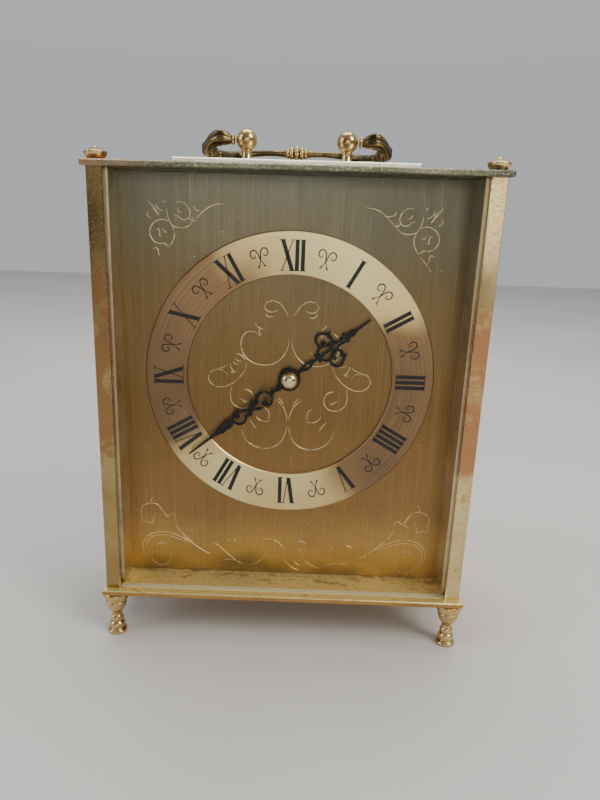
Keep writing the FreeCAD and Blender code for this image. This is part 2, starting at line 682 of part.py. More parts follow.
def movement_case_front():
    """The front half: a tray with the centre bush, the battery bay's wall, two lugs and the wheel posts."""
    tray = module_box(0, MODULE_FRONT, SPLIT_Y).cut(module_box(MODULE_WALL, MODULE_FRONT + 1.0, SPLIT_Y + 1))
    wall = box(-MODULE_HALF + 1, MODULE_HALF - 1, MODULE_FRONT + 0.5, SPLIT_Y, BAY_TOP - 1.0, BAY_TOP)
    bush = rod_y(BUSH_R, 0, DIAL_Z, DIAL_FRONT - 0.3, MODULE_FRONT + 0.5)
    lugs = [
        box(sx * (MODULE_HALF - 0.5), sx * (LUG_X + 3), MODULE_FRONT, layer(2.0), DIAL_Z - 4, DIAL_Z + 4)
        for _, sx in SIDES
    ]
    mx, mz = PLACES["motion"]
    post = rod_y(0.75, mx, mz, MODULE_FRONT + 0.5, MODULE_FRONT + 4.6)
    bosses = [
        rod_y(1.5, x, z, MODULE_FRONT + 0.5, MODULE_FRONT + 1.8)
        for x, z in (PLACES[n] for n in ("third", "seconds", "idler", "rotor"))
    ]
    corner = MODULE_HALF - 2.6
    columns = [
        rod_y(1.9, sx * corner, DIAL_Z + z, MODULE_FRONT + 0.5, BRIDGE_Y)
        for _, sx in SIDES
        for z in (corner, BAY_TOP - DIAL_Z + 1.9)
    ]
    shell = joined([tray, wall, bush, post] + lugs + bosses + columns)
    shell = shell.cut(rod_y(BUSH_HOLE_R, 0, DIAL_Z, DIAL_FRONT - 1, MODULE_FRONT + 2))
    for _, sx in SIDES:
        shell = shell.cut(rod_y(LUG_STUD_R + 0.2, sx * LUG_X, DIAL_Z, MODULE_FRONT - 1, MODULE_FRONT + 3))
        for z in (corner, BAY_TOP - DIAL_Z + 1.9):
            shell = shell.cut(rod_y(0.62, sx * corner, DIAL_Z + z, BRIDGE_Y - 6, BRIDGE_Y + 1))
    for name in ("third", "seconds", "idler", "rotor"):
        x, z = PLACES[name]
        shell = shell.cut(rod_y(PIVOT_R + 0.05, x, z, MODULE_FRONT + 0.6, MODULE_FRONT + 3))
    return shell.cut(rod_y(KNOB_ARBOR_R + 0.05, *PLACES["setting"], MODULE_FRONT + 0.5, MODULE_FRONT + 3))


def movement_case_back():
    """The back half: a shallow cover with the setting knob's hole and an open battery bay."""
    cover = module_box(0, SPLIT_Y, MODULE_BACK).cut(module_box(MODULE_WALL, SPLIT_Y - 1, MODULE_BACK - 1.2))
    inner = MODULE_HALF - MODULE_WALL
    bay = box(-inner, inner, SPLIT_Y - 1, MODULE_BACK + 1, DIAL_Z - inner, BAY_TOP - 1.0)
    wall = box(-MODULE_HALF + 1, MODULE_HALF - 1, SPLIT_Y, MODULE_BACK - 1, BAY_TOP - 1.0, BAY_TOP)
    x, z = PLACES["setting"]
    boss = rod_y(2.6, x, z, MODULE_BACK - 2.4, MODULE_BACK + 0.4)
    cover = joined([cover.cut(bay), wall, boss])
    return cover.cut(rod_y(KNOB_ARBOR_R + 0.05, x, z, SPLIT_Y, MODULE_BACK + 2))


def movement_gasket():
    return tube_y(9.0, BUSH_R + 0.2, 0, DIAL_Z, DIAL_BACK, MODULE_FRONT)


def movement_nuts():
    nut = turned_to(hexagon_nut(4.0, 1.6, LUG_STUD_R + 0.03), X_AXIS, -90)
    return Part.makeCompound([moved(nut, sx * LUG_X, MODULE_FRONT + 2.0, DIAL_Z) for _, sx in SIDES])


def battery():
    body = turned(
        [
            (0, 0),
            (4.8, 0),
            (BATTERY_R - 0.5, 0.2),
            (BATTERY_R - 0.12, 0.3, BATTERY_R, 0.7),
            (BATTERY_R, BATTERY_LENGTH - 2.0),
            (BATTERY_R - 0.8, BATTERY_LENGTH - 1.3),
            (2.75, BATTERY_LENGTH - 1.1),
            (2.75, BATTERY_LENGTH - 0.2),
            (2.5, BATTERY_LENGTH),
            (0, BATTERY_LENGTH),
        ]
    )
    lying = turned_to(body, Y_AXIS, 90)
    return moved(lying, -BATTERY_LENGTH / 2, BATTERY_Y, BATTERY_Z)


def battery_contacts():
    """Two strips, one with a raised pip and one with a spring, drawn as a stepped cone."""
    inner = MODULE_HALF - MODULE_WALL
    right = box(inner - 0.5, inner - 0.1, BATTERY_Y - 5, BATTERY_Y + 5, BATTERY_Z - 6, BATTERY_Z + 6)
    pip = rod(2.0, V(BATTERY_LENGTH / 2 + 0.02, BATTERY_Y, BATTERY_Z), V(inner - 0.3, BATTERY_Y, BATTERY_Z))
    left = box(-inner + 0.1, -inner + 0.5, BATTERY_Y - 5, BATTERY_Y + 5, BATTERY_Z - 6, BATTERY_Z + 6)
    seat = -inner + 0.3
    step = (-BATTERY_LENGTH / 2 - 0.03 - seat) / 3
    cone = [
        rod(
            4.4 - 0.8 * i,
            V(seat + step * i, BATTERY_Y, BATTERY_Z),
            V(seat + step * (i + 1), BATTERY_Y, BATTERY_Z),
        )
        for i in range(3)
    ]
    return Part.makeCompound([joined([right, pip]), joined([left] + cone)])


# ---------------------------------------------------------------- wheel work
# Wheels mesh with involute teeth of 30 degrees, cut thin enough to run free.
PRESSURE = math.radians(30)
ADDENDUM = 0.8
DEDENDUM = 1.05
TOOTH_SHARE = 0.44  # of the circular pitch
PIVOT_R = 0.4
KNOB_ARBOR_R = 1.0
MINUTE_ARBOR_R = 1.5
HOUR_TUBE_R = 2.4

CANNON_TEETH, MOTION_TEETH, CANNON_MODULE = 16, 48, 0.30
MOTION_PINION, HOUR_TEETH, HOUR_MODULE = 12, 48, 0.32
THIRD_PINION, CENTRE_TEETH, CENTRE_MODULE = 8, 64, 0.32
SECONDS_PINION, THIRD_TEETH, THIRD_MODULE = 8, 60, 0.28
IDLER_PINION, SECONDS_TEETH, SECONDS_MODULE = 10, 50, 0.26
ROTOR_PINION, IDLER_TEETH, IDLER_MODULE = 8, 48, 0.26


def spaced(place, direction, teeth, module):
    """The centre of a wheel whose pair has this many teeth in all, in a direction in degrees from +X."""
    reach = module * teeth / 2
    a = math.radians(direction)
    return (place[0] + reach * math.cos(a), place[1] + reach * math.sin(a))


CENTRE = (0.0, DIAL_Z)
MOTION = spaced(CENTRE, 160, CANNON_TEETH + MOTION_TEETH, CANNON_MODULE)
SETTING = spaced(MOTION, 215, CANNON_TEETH + MOTION_TEETH, CANNON_MODULE)
THIRD = spaced(CENTRE, 50, THIRD_PINION + CENTRE_TEETH, CENTRE_MODULE)
SECONDS = spaced(THIRD, 150, SECONDS_PINION + THIRD_TEETH, THIRD_MODULE)
IDLER = spaced(SECONDS, 180, IDLER_PINION + SECONDS_TEETH, SECONDS_MODULE)
ROTOR = spaced(IDLER, 200, ROTOR_PINION + IDLER_TEETH, IDLER_MODULE)
PLACES = {
    "motion": MOTION,
    "setting": SETTING,
    "third": THIRD,
    "seconds": SECONDS,
    "idler": IDLER,
    "rotor": ROTOR,
}


def layer(depth):
    """A Y place from a depth behind the movement's front face."""
    return MODULE_FRONT + depth


def half_tooth(radius, pitch_r, teeth):
    """Half the angle that a tooth spans at a radius."""
    base_r = pitch_r * math.cos(PRESSURE)
    at_pitch = TOOTH_SHARE * math.pi / teeth
    spread = math.acos(min(1.0, base_r / max(radius, base_r)))
    return at_pitch + (math.tan(PRESSURE) - PRESSURE) - (math.tan(spread) - spread)


def gear(teeth, module, place, phase, y0, y1):
    """A toothed disc in the XZ plane, with a tooth centred on the phase angle, in radians from +X."""
    pitch_r = module * teeth / 2
    base_r = pitch_r * math.cos(PRESSURE)
    root = pitch_r - DEDENDUM * module
    tip = pitch_r + ADDENDUM * module
    radii = [root, max(root + 0.02, min(base_r, pitch_r - 0.4 * module)), pitch_r, tip]
    flank = [(r, -half_tooth(r, pitch_r, teeth)) for r in radii]
    outline = flank + [(r, -angle) for r, angle in reversed(flank)]
    points = []
    for i in range(teeth):
        middle = phase + 2 * math.pi * i / teeth
        for r, angle in outline:
            a = middle + angle
            points.append(V(place[0] + r * math.cos(a), y0, place[1] + r * math.sin(a)))
    points.append(points[0])
    return Part.Face(Part.makePolygon(points)).extrude(V(0, y1 - y0, 0))


def meshed(place, teeth, phase, mate, mate_teeth):
    """The phase that puts a mate's gaps opposite a wheel's teeth."""
    towards = math.atan2(mate[1] - place[1], mate[0] - place[0])
    past = ((towards - phase) / (2 * math.pi / teeth)) % 1.0
    return towards + math.pi - (2 * math.pi / mate_teeth) * (0.5 - past)


MOTION_PHASE = meshed(CENTRE, CANNON_TEETH, 0.0, MOTION, MOTION_TEETH)
SETTING_PHASE = meshed(MOTION, MOTION_TEETH, MOTION_PHASE, SETTING, CANNON_TEETH)
HOUR_PHASE = meshed(MOTION, MOTION_PINION, 0.0, CENTRE, HOUR_TEETH)
CENTRE_PHASE = meshed(THIRD, THIRD_PINION, 0.0, CENTRE, CENTRE_TEETH)
THIRD_PHASE = meshed(SECONDS, SECONDS_PINION, 0.0, THIRD, THIRD_TEETH)
SECONDS_PHASE = meshed(IDLER, IDLER_PINION, 0.0, SECONDS, SECONDS_TEETH)
IDLER_PHASE = meshed(ROTOR, ROTOR_PINION, 0.0, IDLER, IDLER_TEETH)


def cannon_pinion():
    """The minute arbor with the pinion that drives the motion work; the minute hand is pressed on its end."""
    pinion = gear(CANNON_TEETH, CANNON_MODULE, CENTRE, 0.0, layer(3.2), layer(4.4))
    arbor = rod_y(MINUTE_ARBOR_R, *CENTRE, MINUTE_HAND_Y - HAND_THICK - 1.6, layer(10.6))
    pivot = rod_y(PIVOT_R + 0.3, *CENTRE, layer(10.5), BRIDGE_Y + BRIDGE_THICK - 0.05)
    return joined([pinion, arbor, pivot])


def hour_wheel():
    disc_part = gear(HOUR_TEETH, HOUR_MODULE, CENTRE, HOUR_PHASE, layer(1.6), layer(2.4))
    pipe = rod_y(HOUR_TUBE_R, *CENTRE, HOUR_HAND_Y - HAND_THICK, layer(2.8))
    return joined([disc_part, pipe]).cut(rod_y(MINUTE_ARBOR_R + 0.06, *CENTRE, HOUR_HAND_Y - 3, layer(3.2)))


def motion_wheel():
    wheel = gear(MOTION_TEETH, CANNON_MODULE, MOTION, MOTION_PHASE, layer(3.4), layer(4.2))
    pinion = gear(MOTION_PINION, HOUR_MODULE, MOTION, 0.0, layer(1.4), layer(3.45))
    return joined([wheel, pinion]).cut(rod_y(0.8, *MOTION, layer(1), layer(5)))


def setting_knob():
    """The knurled knob behind the movement, its arbor and the pinion that turns the motion wheel."""
    pinion = gear(CANNON_TEETH, CANNON_MODULE, SETTING, SETTING_PHASE, layer(3.2), layer(4.4))
    arbor = rod_y(KNOB_ARBOR_R, *SETTING, layer(0.7), MODULE_BACK + 2)
    grip = rod_y(5.0, *SETTING, MODULE_BACK + 0.6, MODULE_BACK + 4.4)
    for i in range(24):
        a = 2 * math.pi * i / 24
        x, z = SETTING[0] + 5.15 * math.cos(a), SETTING[1] + 5.15 * math.sin(a)
        grip = grip.cut(rod_y(0.4, x, z, MODULE_BACK, MODULE_BACK + 5))
    return joined([pinion, arbor, grip])


def centre_wheel():
    """The driven wheel that grips the minute arbor by friction, so that the hands can be set."""
    wheel = gear(CENTRE_TEETH, CENTRE_MODULE, CENTRE, CENTRE_PHASE, layer(5.0), layer(5.8))
    collar = rod_y(2.6, *CENTRE, layer(4.8), layer(6.4))
    return joined([wheel, collar]).cut(rod_y(MINUTE_ARBOR_R + 0.05, *CENTRE, layer(4), layer(7)))


def train_wheel(place, wheel, pinion):
    """A wheel and pinion moulded on one arbor. Each is (teeth, module, phase, front depth, back depth)."""
    shapes = [gear(t, m, place, phase, layer(a), layer(b)) for t, m, phase, a, b in (wheel, pinion)]
    depths = [d for part in (wheel, pinion) for d in part[3:]]
    shapes.append(rod_y(0.55, *place, layer(2.0), layer(max(max(depths) + 0.2, 10.9))))
    shapes.append(rod_y(PIVOT_R, *place, layer(0.75), BRIDGE_Y + BRIDGE_THICK - 0.1))
    return joined(shapes)


def third_wheel():
    return train_wheel(
        THIRD,
        (THIRD_TEETH, THIRD_MODULE, THIRD_PHASE, 6.8, 7.6),
        (THIRD_PINION, CENTRE_MODULE, 0.0, 4.8, 6.85),
    )


def seconds_wheel():
    return train_wheel(
        SECONDS,
        (SECONDS_TEETH, SECONDS_MODULE, SECONDS_PHASE, 8.3, 9.0),
        (SECONDS_PINION, THIRD_MODULE, 0.0, 6.6, 8.35),
    )


def idler_wheel():
    return train_wheel(
        IDLER,
        (IDLER_TEETH, IDLER_MODULE, IDLER_PHASE, 9.7, 10.3),
        (IDLER_PINION, SECONDS_MODULE, 0.0, 8.1, 9.75),
    )


ROTOR_MAGNET_R = 2.4


def rotor():
    """The motor's rotor: a round magnet and a pinion on one arbor."""
    pinion = gear(ROTOR_PINION, IDLER_MODULE, ROTOR, 0.0, layer(9.5), layer(10.5))
    magnet = rod_y(ROTOR_MAGNET_R, *ROTOR, layer(6.0), layer(8.4))
    arbor = rod_y(0.55, *ROTOR, layer(2.0), layer(10.8))
    pivot = rod_y(PIVOT_R, *ROTOR, layer(0.75), BRIDGE_Y + BRIDGE_THICK - 0.1)
    return joined([pinion, magnet, arbor, pivot])


# ---------------------------------------------------------------- motor and circuit
COIL_X = -23.6
COIL_Z = (DIAL_Z + 5.0, DIAL_Z + 21.0)
COIL_Y = layer(7.2)
COIL_FLANGE = 2.7


def coil_bobbin():
    tube = rod_z(1.4, COIL_X, COIL_Y, COIL_Z[0], COIL_Z[1])
    flanges = [
        rod_z(COIL_FLANGE, COIL_X, COIL_Y, COIL_Z[0], COIL_Z[0] + 0.8),
        rod_z(COIL_FLANGE, COIL_X, COIL_Y, COIL_Z[1] - 0.8, COIL_Z[1]),
    ]
    return joined([tube] + flanges).cut(rod_z(1.02, COIL_X, COIL_Y, COIL_Z[0] - 1, COIL_Z[1] + 1))


def coil_winding():
    z0, z1 = COIL_Z[0] + 0.85, COIL_Z[1] - 0.85
    return rod_z(COIL_FLANGE - 0.2, COIL_X, COIL_Y, z0, z1).cut(rod_z(1.43, COIL_X, COIL_Y, z0 - 1, z1 + 1))


def stator():
    """The soft iron: a core through the coil and two arms that close round the rotor's magnet."""
    core = rod_z(0.98, COIL_X, COIL_Y, COIL_Z[0] - 2.0, COIL_Z[1] + 2.0)
    y0, y1 = COIL_Y - 0.6, COIL_Y + 0.6
    x0, x1 = COIL_X - 1.2, ROTOR[0] + 4.2
    low = box(x0, x1, y0, y1, COIL_Z[0] - 2.2, COIL_Z[0] - 0.2)
    high = box(x0, x1, y0, y1, COIL_Z[1] + 0.2, COIL_Z[1] + 2.2)
    pole = box(ROTOR[0] - 3.6, x1, y0, y1, COIL_Z[0] - 1.0, COIL_Z[1] + 1.0)
    iron = joined([core, low, high, pole])
    return iron.cut(rod_y(ROTOR_MAGNET_R + 0.45, *ROTOR, y0 - 1, y1 + 1))


BOARD = (13.0, 26.0, layer(8.6), layer(9.6), DIAL_Z - 6.8, DIAL_Z + 20.0)


def circuit_board():
    return box(*BOARD)


def board_parts():
    """The quartz crystal's can and the sealed chip on the board."""
    y = BOARD[2]
    can = rod(1.0, V(21.5, y - 1.05, DIAL_Z + 8), V(21.5, y - 1.05, DIAL_Z + 14))
    chip = turned_to(turned([(0, 0), (2.6, 0), (1.9, 0.75, 0.4, 1.0), (0, 1.0)]), X_AXIS, 90)
    return Part.makeCompound([can, moved(chip, 20.0, y, DIAL_Z)])


def train_bridge():
    """The plate that holds the back pivots of the train."""
    half = MODULE_HALF - MODULE_WALL - 0.15
    plate = box(-half, half, BRIDGE_Y, BRIDGE_Y + BRIDGE_THICK, BAY_TOP + 0.1, DIAL_Z + half)
    for name in ("third", "seconds", "idler", "rotor"):
        plate = plate.cut(rod_y(PIVOT_R + 0.05, *PLACES[name], BRIDGE_Y - 1, BRIDGE_Y + 2))
    plate = plate.cut(rod_y(PIVOT_R + 0.35, *CENTRE, BRIDGE_Y - 1, BRIDGE_Y + 2))
    plate = plate.cut(rod_y(KNOB_ARBOR_R + 0.3, *SETTING, BRIDGE_Y - 1, BRIDGE_Y + 2))
    for x, z in bridge_screw_places():
        plate = plate.cut(rod_y(0.7, x, z, BRIDGE_Y - 1, BRIDGE_Y + 2))
    return plate


def bridge_screw_places():
    corner = MODULE_HALF - 2.6
    return [(sx * corner, z) for _, sx in SIDES for z in (DIAL_Z + corner, BAY_TOP + 1.9)]


def bridge_screws():
    screw = turned_to(pan_screw(1.25, 0.9, 0.6, 4.5), X_AXIS, -90)
    return Part.makeCompound([moved(screw, x, BRIDGE_Y + BRIDGE_THICK, z) for x, z in bridge_screw_places()])


# ---------------------------------------------------------------- all sub-parts
def all_parts():
    parts = {
        "base_plate": base_plate(),
        "top_plate": top_plate(),
        "front_glass": front_glass(),
        "handle_plate": handle_plate(),
        "handle": handle(),
        "handle_post_nuts": post_nuts(),
        "back_door": back_door(),
        "door_hinge_pins": door_pins(),
        "door_knob": door_knob(),
        "door_stop": door_stop(),
        "door_magnet": door_magnet(),
        "dial_plate": dial_plate(),
        "dial_screws": dial_screws(),
        "chapter_ring": chapter_ring(),
        "hour_hand": hour_hand(),
        "minute_hand": minute_hand(),
        "hand_cap": hand_cap(),
        "movement_case_front": movement_case_front(),
        "movement_case_back": movement_case_back(),
        "movement_gasket": movement_gasket(),
        "movement_nuts": movement_nuts(),
        "battery": battery(),
        "battery_contacts": battery_contacts(),
        "cannon_pinion": cannon_pinion(),
        "hour_wheel": hour_wheel(),
        "motion_wheel": motion_wheel(),
        "setting_knob": setting_knob(),
        "centre_wheel": centre_wheel(),
        "third_wheel": third_wheel(),
        "seconds_wheel": seconds_wheel(),
        "idler_wheel": idler_wheel(),
        "rotor": rotor(),
        "coil_bobbin": coil_bobbin(),
        "coil_winding": coil_winding(),
        "stator": stator(),
        "circuit_board": circuit_board(),
        "crystal_and_chip": board_parts(),
        "train_bridge": train_bridge(),
        "bridge_screws": bridge_screws(),
    }
    for name, x, y, sx, sy in pillar_axes():
        parts[f"pillar_{name}"] = pillar(x, y, sx, sy)
        parts[f"foot_{name}"] = foot(x, y)
        parts[f"finial_{name}"] = finial(x, y)
    for side, sx in SIDES:
        parts[f"side_panel_{side}"] = side_panel(sx)
        parts[f"glass_rail_{side}"] = glass_rail(sx)
        parts[f"handle_post_{side}"] = handle_post(sx)
    return parts


def main():
    os.makedirs("parts", exist_ok=True)
    for name, shape in all_parts().items():
        if not shape.isValid() or not shape.Solids:
            print("not a valid solid:", name)
        if any(solid.Volume <= 0 for solid in shape.Solids):
            print("turned inside out:", name)
        shape.exportStep(f"parts/{name}.step")


main()
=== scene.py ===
import json
import math

import bpy
from mathutils import Matrix, Vector


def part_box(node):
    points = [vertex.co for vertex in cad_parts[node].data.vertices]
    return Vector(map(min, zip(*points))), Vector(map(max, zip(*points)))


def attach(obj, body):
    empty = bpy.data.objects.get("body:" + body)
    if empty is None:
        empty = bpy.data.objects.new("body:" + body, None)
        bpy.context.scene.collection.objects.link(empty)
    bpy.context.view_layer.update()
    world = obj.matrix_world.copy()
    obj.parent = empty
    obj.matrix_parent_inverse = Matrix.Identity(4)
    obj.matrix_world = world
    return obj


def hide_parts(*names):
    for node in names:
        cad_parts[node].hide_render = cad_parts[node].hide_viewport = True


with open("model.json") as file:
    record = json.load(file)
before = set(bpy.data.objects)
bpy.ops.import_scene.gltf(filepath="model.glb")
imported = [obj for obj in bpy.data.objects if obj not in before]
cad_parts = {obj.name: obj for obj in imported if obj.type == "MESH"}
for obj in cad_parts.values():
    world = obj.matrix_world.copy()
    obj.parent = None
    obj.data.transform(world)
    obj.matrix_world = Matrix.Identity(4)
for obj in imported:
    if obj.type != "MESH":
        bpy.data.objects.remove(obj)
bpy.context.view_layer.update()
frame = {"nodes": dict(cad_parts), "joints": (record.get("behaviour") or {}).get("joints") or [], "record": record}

# ---------------------------------------------------------------- places, in metres, from the frame
MM = 0.001
SIDES = (("left", -1), ("right", 1))
CORNERS = [f"{end}_{side}" for end in ("front", "back") for side, _ in SIDES]

DIAL_LOW, DIAL_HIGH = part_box("dial_plate")
RING_LOW, RING_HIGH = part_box("chapter_ring")
DIAL_FACE = RING_HIGH.y  # the ring lies on the dial's front face
RING_FACE = RING_LOW.y
DIAL_CENTRE = (RING_LOW + RING_HIGH) / 2
TOP_OF_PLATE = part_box("top_plate")[1].z
TOP_OF_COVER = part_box("handle_plate")[1].z
UNDER_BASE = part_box("base_plate")[0].z
UNDER_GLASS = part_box("front_glass")[0].z


def hinge_place(name):
    """Where a joint's axis is."""
    return next(Vector(joint["pos_m"]) for joint in frame["joints"] if joint["name"] == name)


HANDLE_PIVOT = hinge_place("handle_swing")


def body_with(node):
    """The body that a CAD node belongs to."""
    bodies = frame["record"]["behaviour"]["bodies"]
    return next(name for name, nodes in bodies.items() if node in nodes)


def middle_of(node):
    """The middle of a CAD node's box."""
    low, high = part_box(node)
    return (low + high) / 2


# ---------------------------------------------------------------- mesh helpers
SUNK = 0.02  # how far the foot of a stroke goes into the face it lies on, in millimetres
TURNED_SIDES = 72


def mesh_piece(name, vertices, faces, smooth=True):
    """A mesh object from vertices in metres."""
    mesh = bpy.data.meshes.new(name)
    mesh.from_pydata([tuple(v) for v in vertices], [], faces)
    mesh.update()
    for face in mesh.polygons:
        face.use_smooth = smooth
    piece = bpy.data.objects.new(name, mesh)
    bpy.context.scene.collection.objects.link(piece)
    return piece


def between(a, b, c, d, t):
    """The value at share t of the way from b to c on a Catmull-Rom curve, with a before them and d after."""
    bend = (2 * a - 5 * b + 4 * c - d) * t**2 + (3 * b - a - 3 * c + d) * t**3
    return 0.5 * (2 * b + (c - a) * t + bend)


def smooth_path(points, steps=8):
    """Points on a smooth curve through the given ones, each a tuple of any length."""
    points = [tuple(map(float, p)) for p in points]
    first = tuple(2 * a - b for a, b in zip(points[0], points[1]))
    last = tuple(2 * a - b for a, b in zip(points[-1], points[-2]))
    path = [first] + points + [last]
    out = []
    for four in zip(path, path[1:], path[2:], path[3:]):
        for k in range(steps):
            out.append(tuple(between(*values, k / steps) for values in zip(*four)))
    out.append(points[-1])
    return out


def add_stroke(vertices, faces, points, width, height, place, steps=8):
    """A raised line with a flat top and thin ends. Place puts its points, in millimetres, in the frame."""
    path = smooth_path(points, steps)
    count = len(path)
    start = len(vertices)
    for i, (x, z) in enumerate(path):
        ahead, behind = path[min(i + 1, count - 1)], path[max(i - 1, 0)]
        dx, dz = ahead[0] - behind[0], ahead[1] - behind[1]
        long = math.hypot(dx, dz) or 1.0
        side = (-dz / long, dx / long)
        share = math.sin(math.pi * (0.06 + 0.88 * i / (count - 1))) ** 0.6
        half = width / 2 * share
        for across, up in ((-1, 0), (-0.45, 1), (0.45, 1), (1, 0)):
            rise = height * share if up else -SUNK
            vertices.append(place(x + side[0] * half * across, z + side[1] * half * across, rise))
    for i in range(count - 1):
        a, b = start + 4 * i, start + 4 * (i + 1)
        for k in range(4):
            n = (k + 1) % 4
            faces.append((a + k, a + n, b + n, b + k))
    faces.append(tuple(start + k for k in (3, 2, 1, 0)))
    faces.append(tuple(start + 4 * (count - 1) + k for k in range(4)))


def tube_faces(rings, sides, flip=False):
    """Faces of a closed tube whose rings of vertices follow one another. Flip turns them over."""
    first, last = range(sides), range((rings - 1) * sides, rings * sides)
    faces = []
    for i in range(rings - 1):
        a, b = i * sides, (i + 1) * sides
        for k in range(sides):
            n = (k + 1) % sides
            faces.append((a + k, b + k, b + n, a + n) if flip else (a + k, a + n, b + n, b + k))
    faces.append(tuple(first) if flip else tuple(reversed(first)))
    faces.append(tuple(reversed(last)) if flip else tuple(last))
    return faces


def mark_grooves(piece, values):
    """Stores the attribute groove, which is 1 in the hollows."""
    piece.data.attributes.new("groove", "FLOAT", "POINT").data.foreach_set("value", values)
    return piece


def turned(name, profile, place, axis="Z", groove_reach=3):
    """A turned piece from (radius, height) points in millimetres, with its grooves marked."""
    count = len(profile)
    grooves = []
    for i, (r, _) in enumerate(profile):
        near = [profile[j][0] for j in range(max(0, i - groove_reach), min(count, i + groove_reach + 1))]
        grooves.append(max(0.0, min(1.0, (sum(near) / len(near) - r) * 2.2)))
    vertices, values = [], []
    for (r, h), groove in zip(profile, grooves):
        for k in range(TURNED_SIDES):
            a = 2 * math.pi * k / TURNED_SIDES
            x, y = r * math.cos(a), r * math.sin(a)
            local = {"Z": (x, y, h), "-Y": (x, -h, y), "Y": (x, h, -y)}[axis]
            vertices.append(Vector(local) * MM + place)
            values.append(groove)
    return mark_grooves(mesh_piece(name, vertices, tube_faces(count, TURNED_SIDES)), values)


def rounded(profile, steps=5):
    """A turned profile with its points joined by a smooth curve. None between points keeps a sharp edge."""
    out, run = [], []
    for point in list(profile) + [None]:
        if point is None:
            if len(run) > 2:
                out += [(max(r, 0.001), h) for r, h in smooth_path(run, steps)]
            else:
                out += run
            run = []
        else:
            run.append(point)
    return out


def finish_piece(piece, look, slot, body, *replaced):
    """Gives a piece its material and body, and hides the CAD nodes that it stands in for; the slot is not used."""
    piece.data.materials.append(look)
    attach(piece, body)
    if replaced:
        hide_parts(*replaced)


# ---------------------------------------------------------------- materials
class Look:
    """A material's nodes. Each method adds some and gives back the socket that holds their result."""

    def __init__(self, name, **sockets):
        self.material = bpy.data.materials.new(name)
        self.material.use_nodes = True
        self.tree = self.material.node_tree
        self.shader = self.tree.nodes["Principled BSDF"]
        self.place = self.tree.nodes.new("ShaderNodeTexCoord").outputs["Object"]
        self.set(**sockets)

    def set(self, **sockets):
        for name, value in sockets.items():
            self.feed(self.shader.inputs[name.replace("_", " ")], value)

    def feed(self, socket, value):
        if isinstance(value, bpy.types.NodeSocket):
            self.tree.links.new(value, socket)
        elif socket.type == "RGBA" and len(value) == 3:
            socket.default_value = (*value, 1.0)
        else:
            socket.default_value = value

    def add(self, kind, inputs=(), **settings):
        node = self.tree.nodes.new("ShaderNode" + kind)
        for name, value in settings.items():
            setattr(node, name, value)
        for key, value in dict(inputs).items():
            self.feed(node.inputs[key], value)
        return node

    def spread(self, size):
        """Object coordinates scaled so that one unit is `size` millimetres."""
        scale = [1000.0 / s for s in size]
        return self.add("Mapping", {"Vector": self.place, "Scale": scale}).outputs[0]

    def noise(self, size, detail=3.0, roughness=0.5, distortion=0.0):
        size = (size,) * 3 if isinstance(size, (int, float)) else size
        inputs = {
            "Vector": self.spread(size),
            "Scale": 1.0,
            "Detail": detail,
            "Roughness": roughness,
            "Distortion": distortion,
        }
        return self.add("TexNoise", inputs).outputs["Fac"]

    def cells(self, size):
        return self.add("TexVoronoi", {"Vector": self.spread((size,) * 3), "Scale": 1.0}).outputs["Distance"]

    def ramp(self, value, *stops):
        node = self.add("ValToRGB", {"Fac": value})
        elements = node.color_ramp.elements
        while len(elements) < len(stops):
            elements.new(0.5)
        for element, (position, colour) in zip(elements, stops):
            element.position = position
            element.color = (*colour, 1.0)
        return node.outputs["Color"]

    def level(self, value, low, high, to_low=0.0, to_high=1.0):
        inputs = {"Value": value, "From Min": low, "From Max": high, "To Min": to_low, "To Max": to_high}
        return self.add("MapRange", inputs).outputs["Result"]

    def maths(self, operation, a, b=0.0):
        return self.add("Math", {0: a, 1: b}, operation=operation).outputs[0]

    def mix(self, share, a, b):
        """Colour a, turned into colour b by the share. A Mix node's colours are its inputs 6 and 7."""
        return self.add("Mix", {0: share, 6: a, 7: b}, data_type="RGBA").outputs[2]

    def axis(self, name):
        """One of the object coordinates, in metres."""
        return self.add("SeparateXYZ", {0: self.place}).outputs[name]

    def groove(self):
        return self.add("Attribute", attribute_name="groove").outputs["Fac"]

    def bump(self, *layers):
        """Bumps laid one on another, each (height socket, depth in millimetres)."""
        normal = None
        for height, depth in layers:
            inputs = {"Height": height, "Distance": depth * MM, "Strength": 1.0}
            if normal:
                inputs["Normal"] = normal
            normal = self.add("Bump", inputs).outputs["Normal"]
        self.set(Normal=normal)


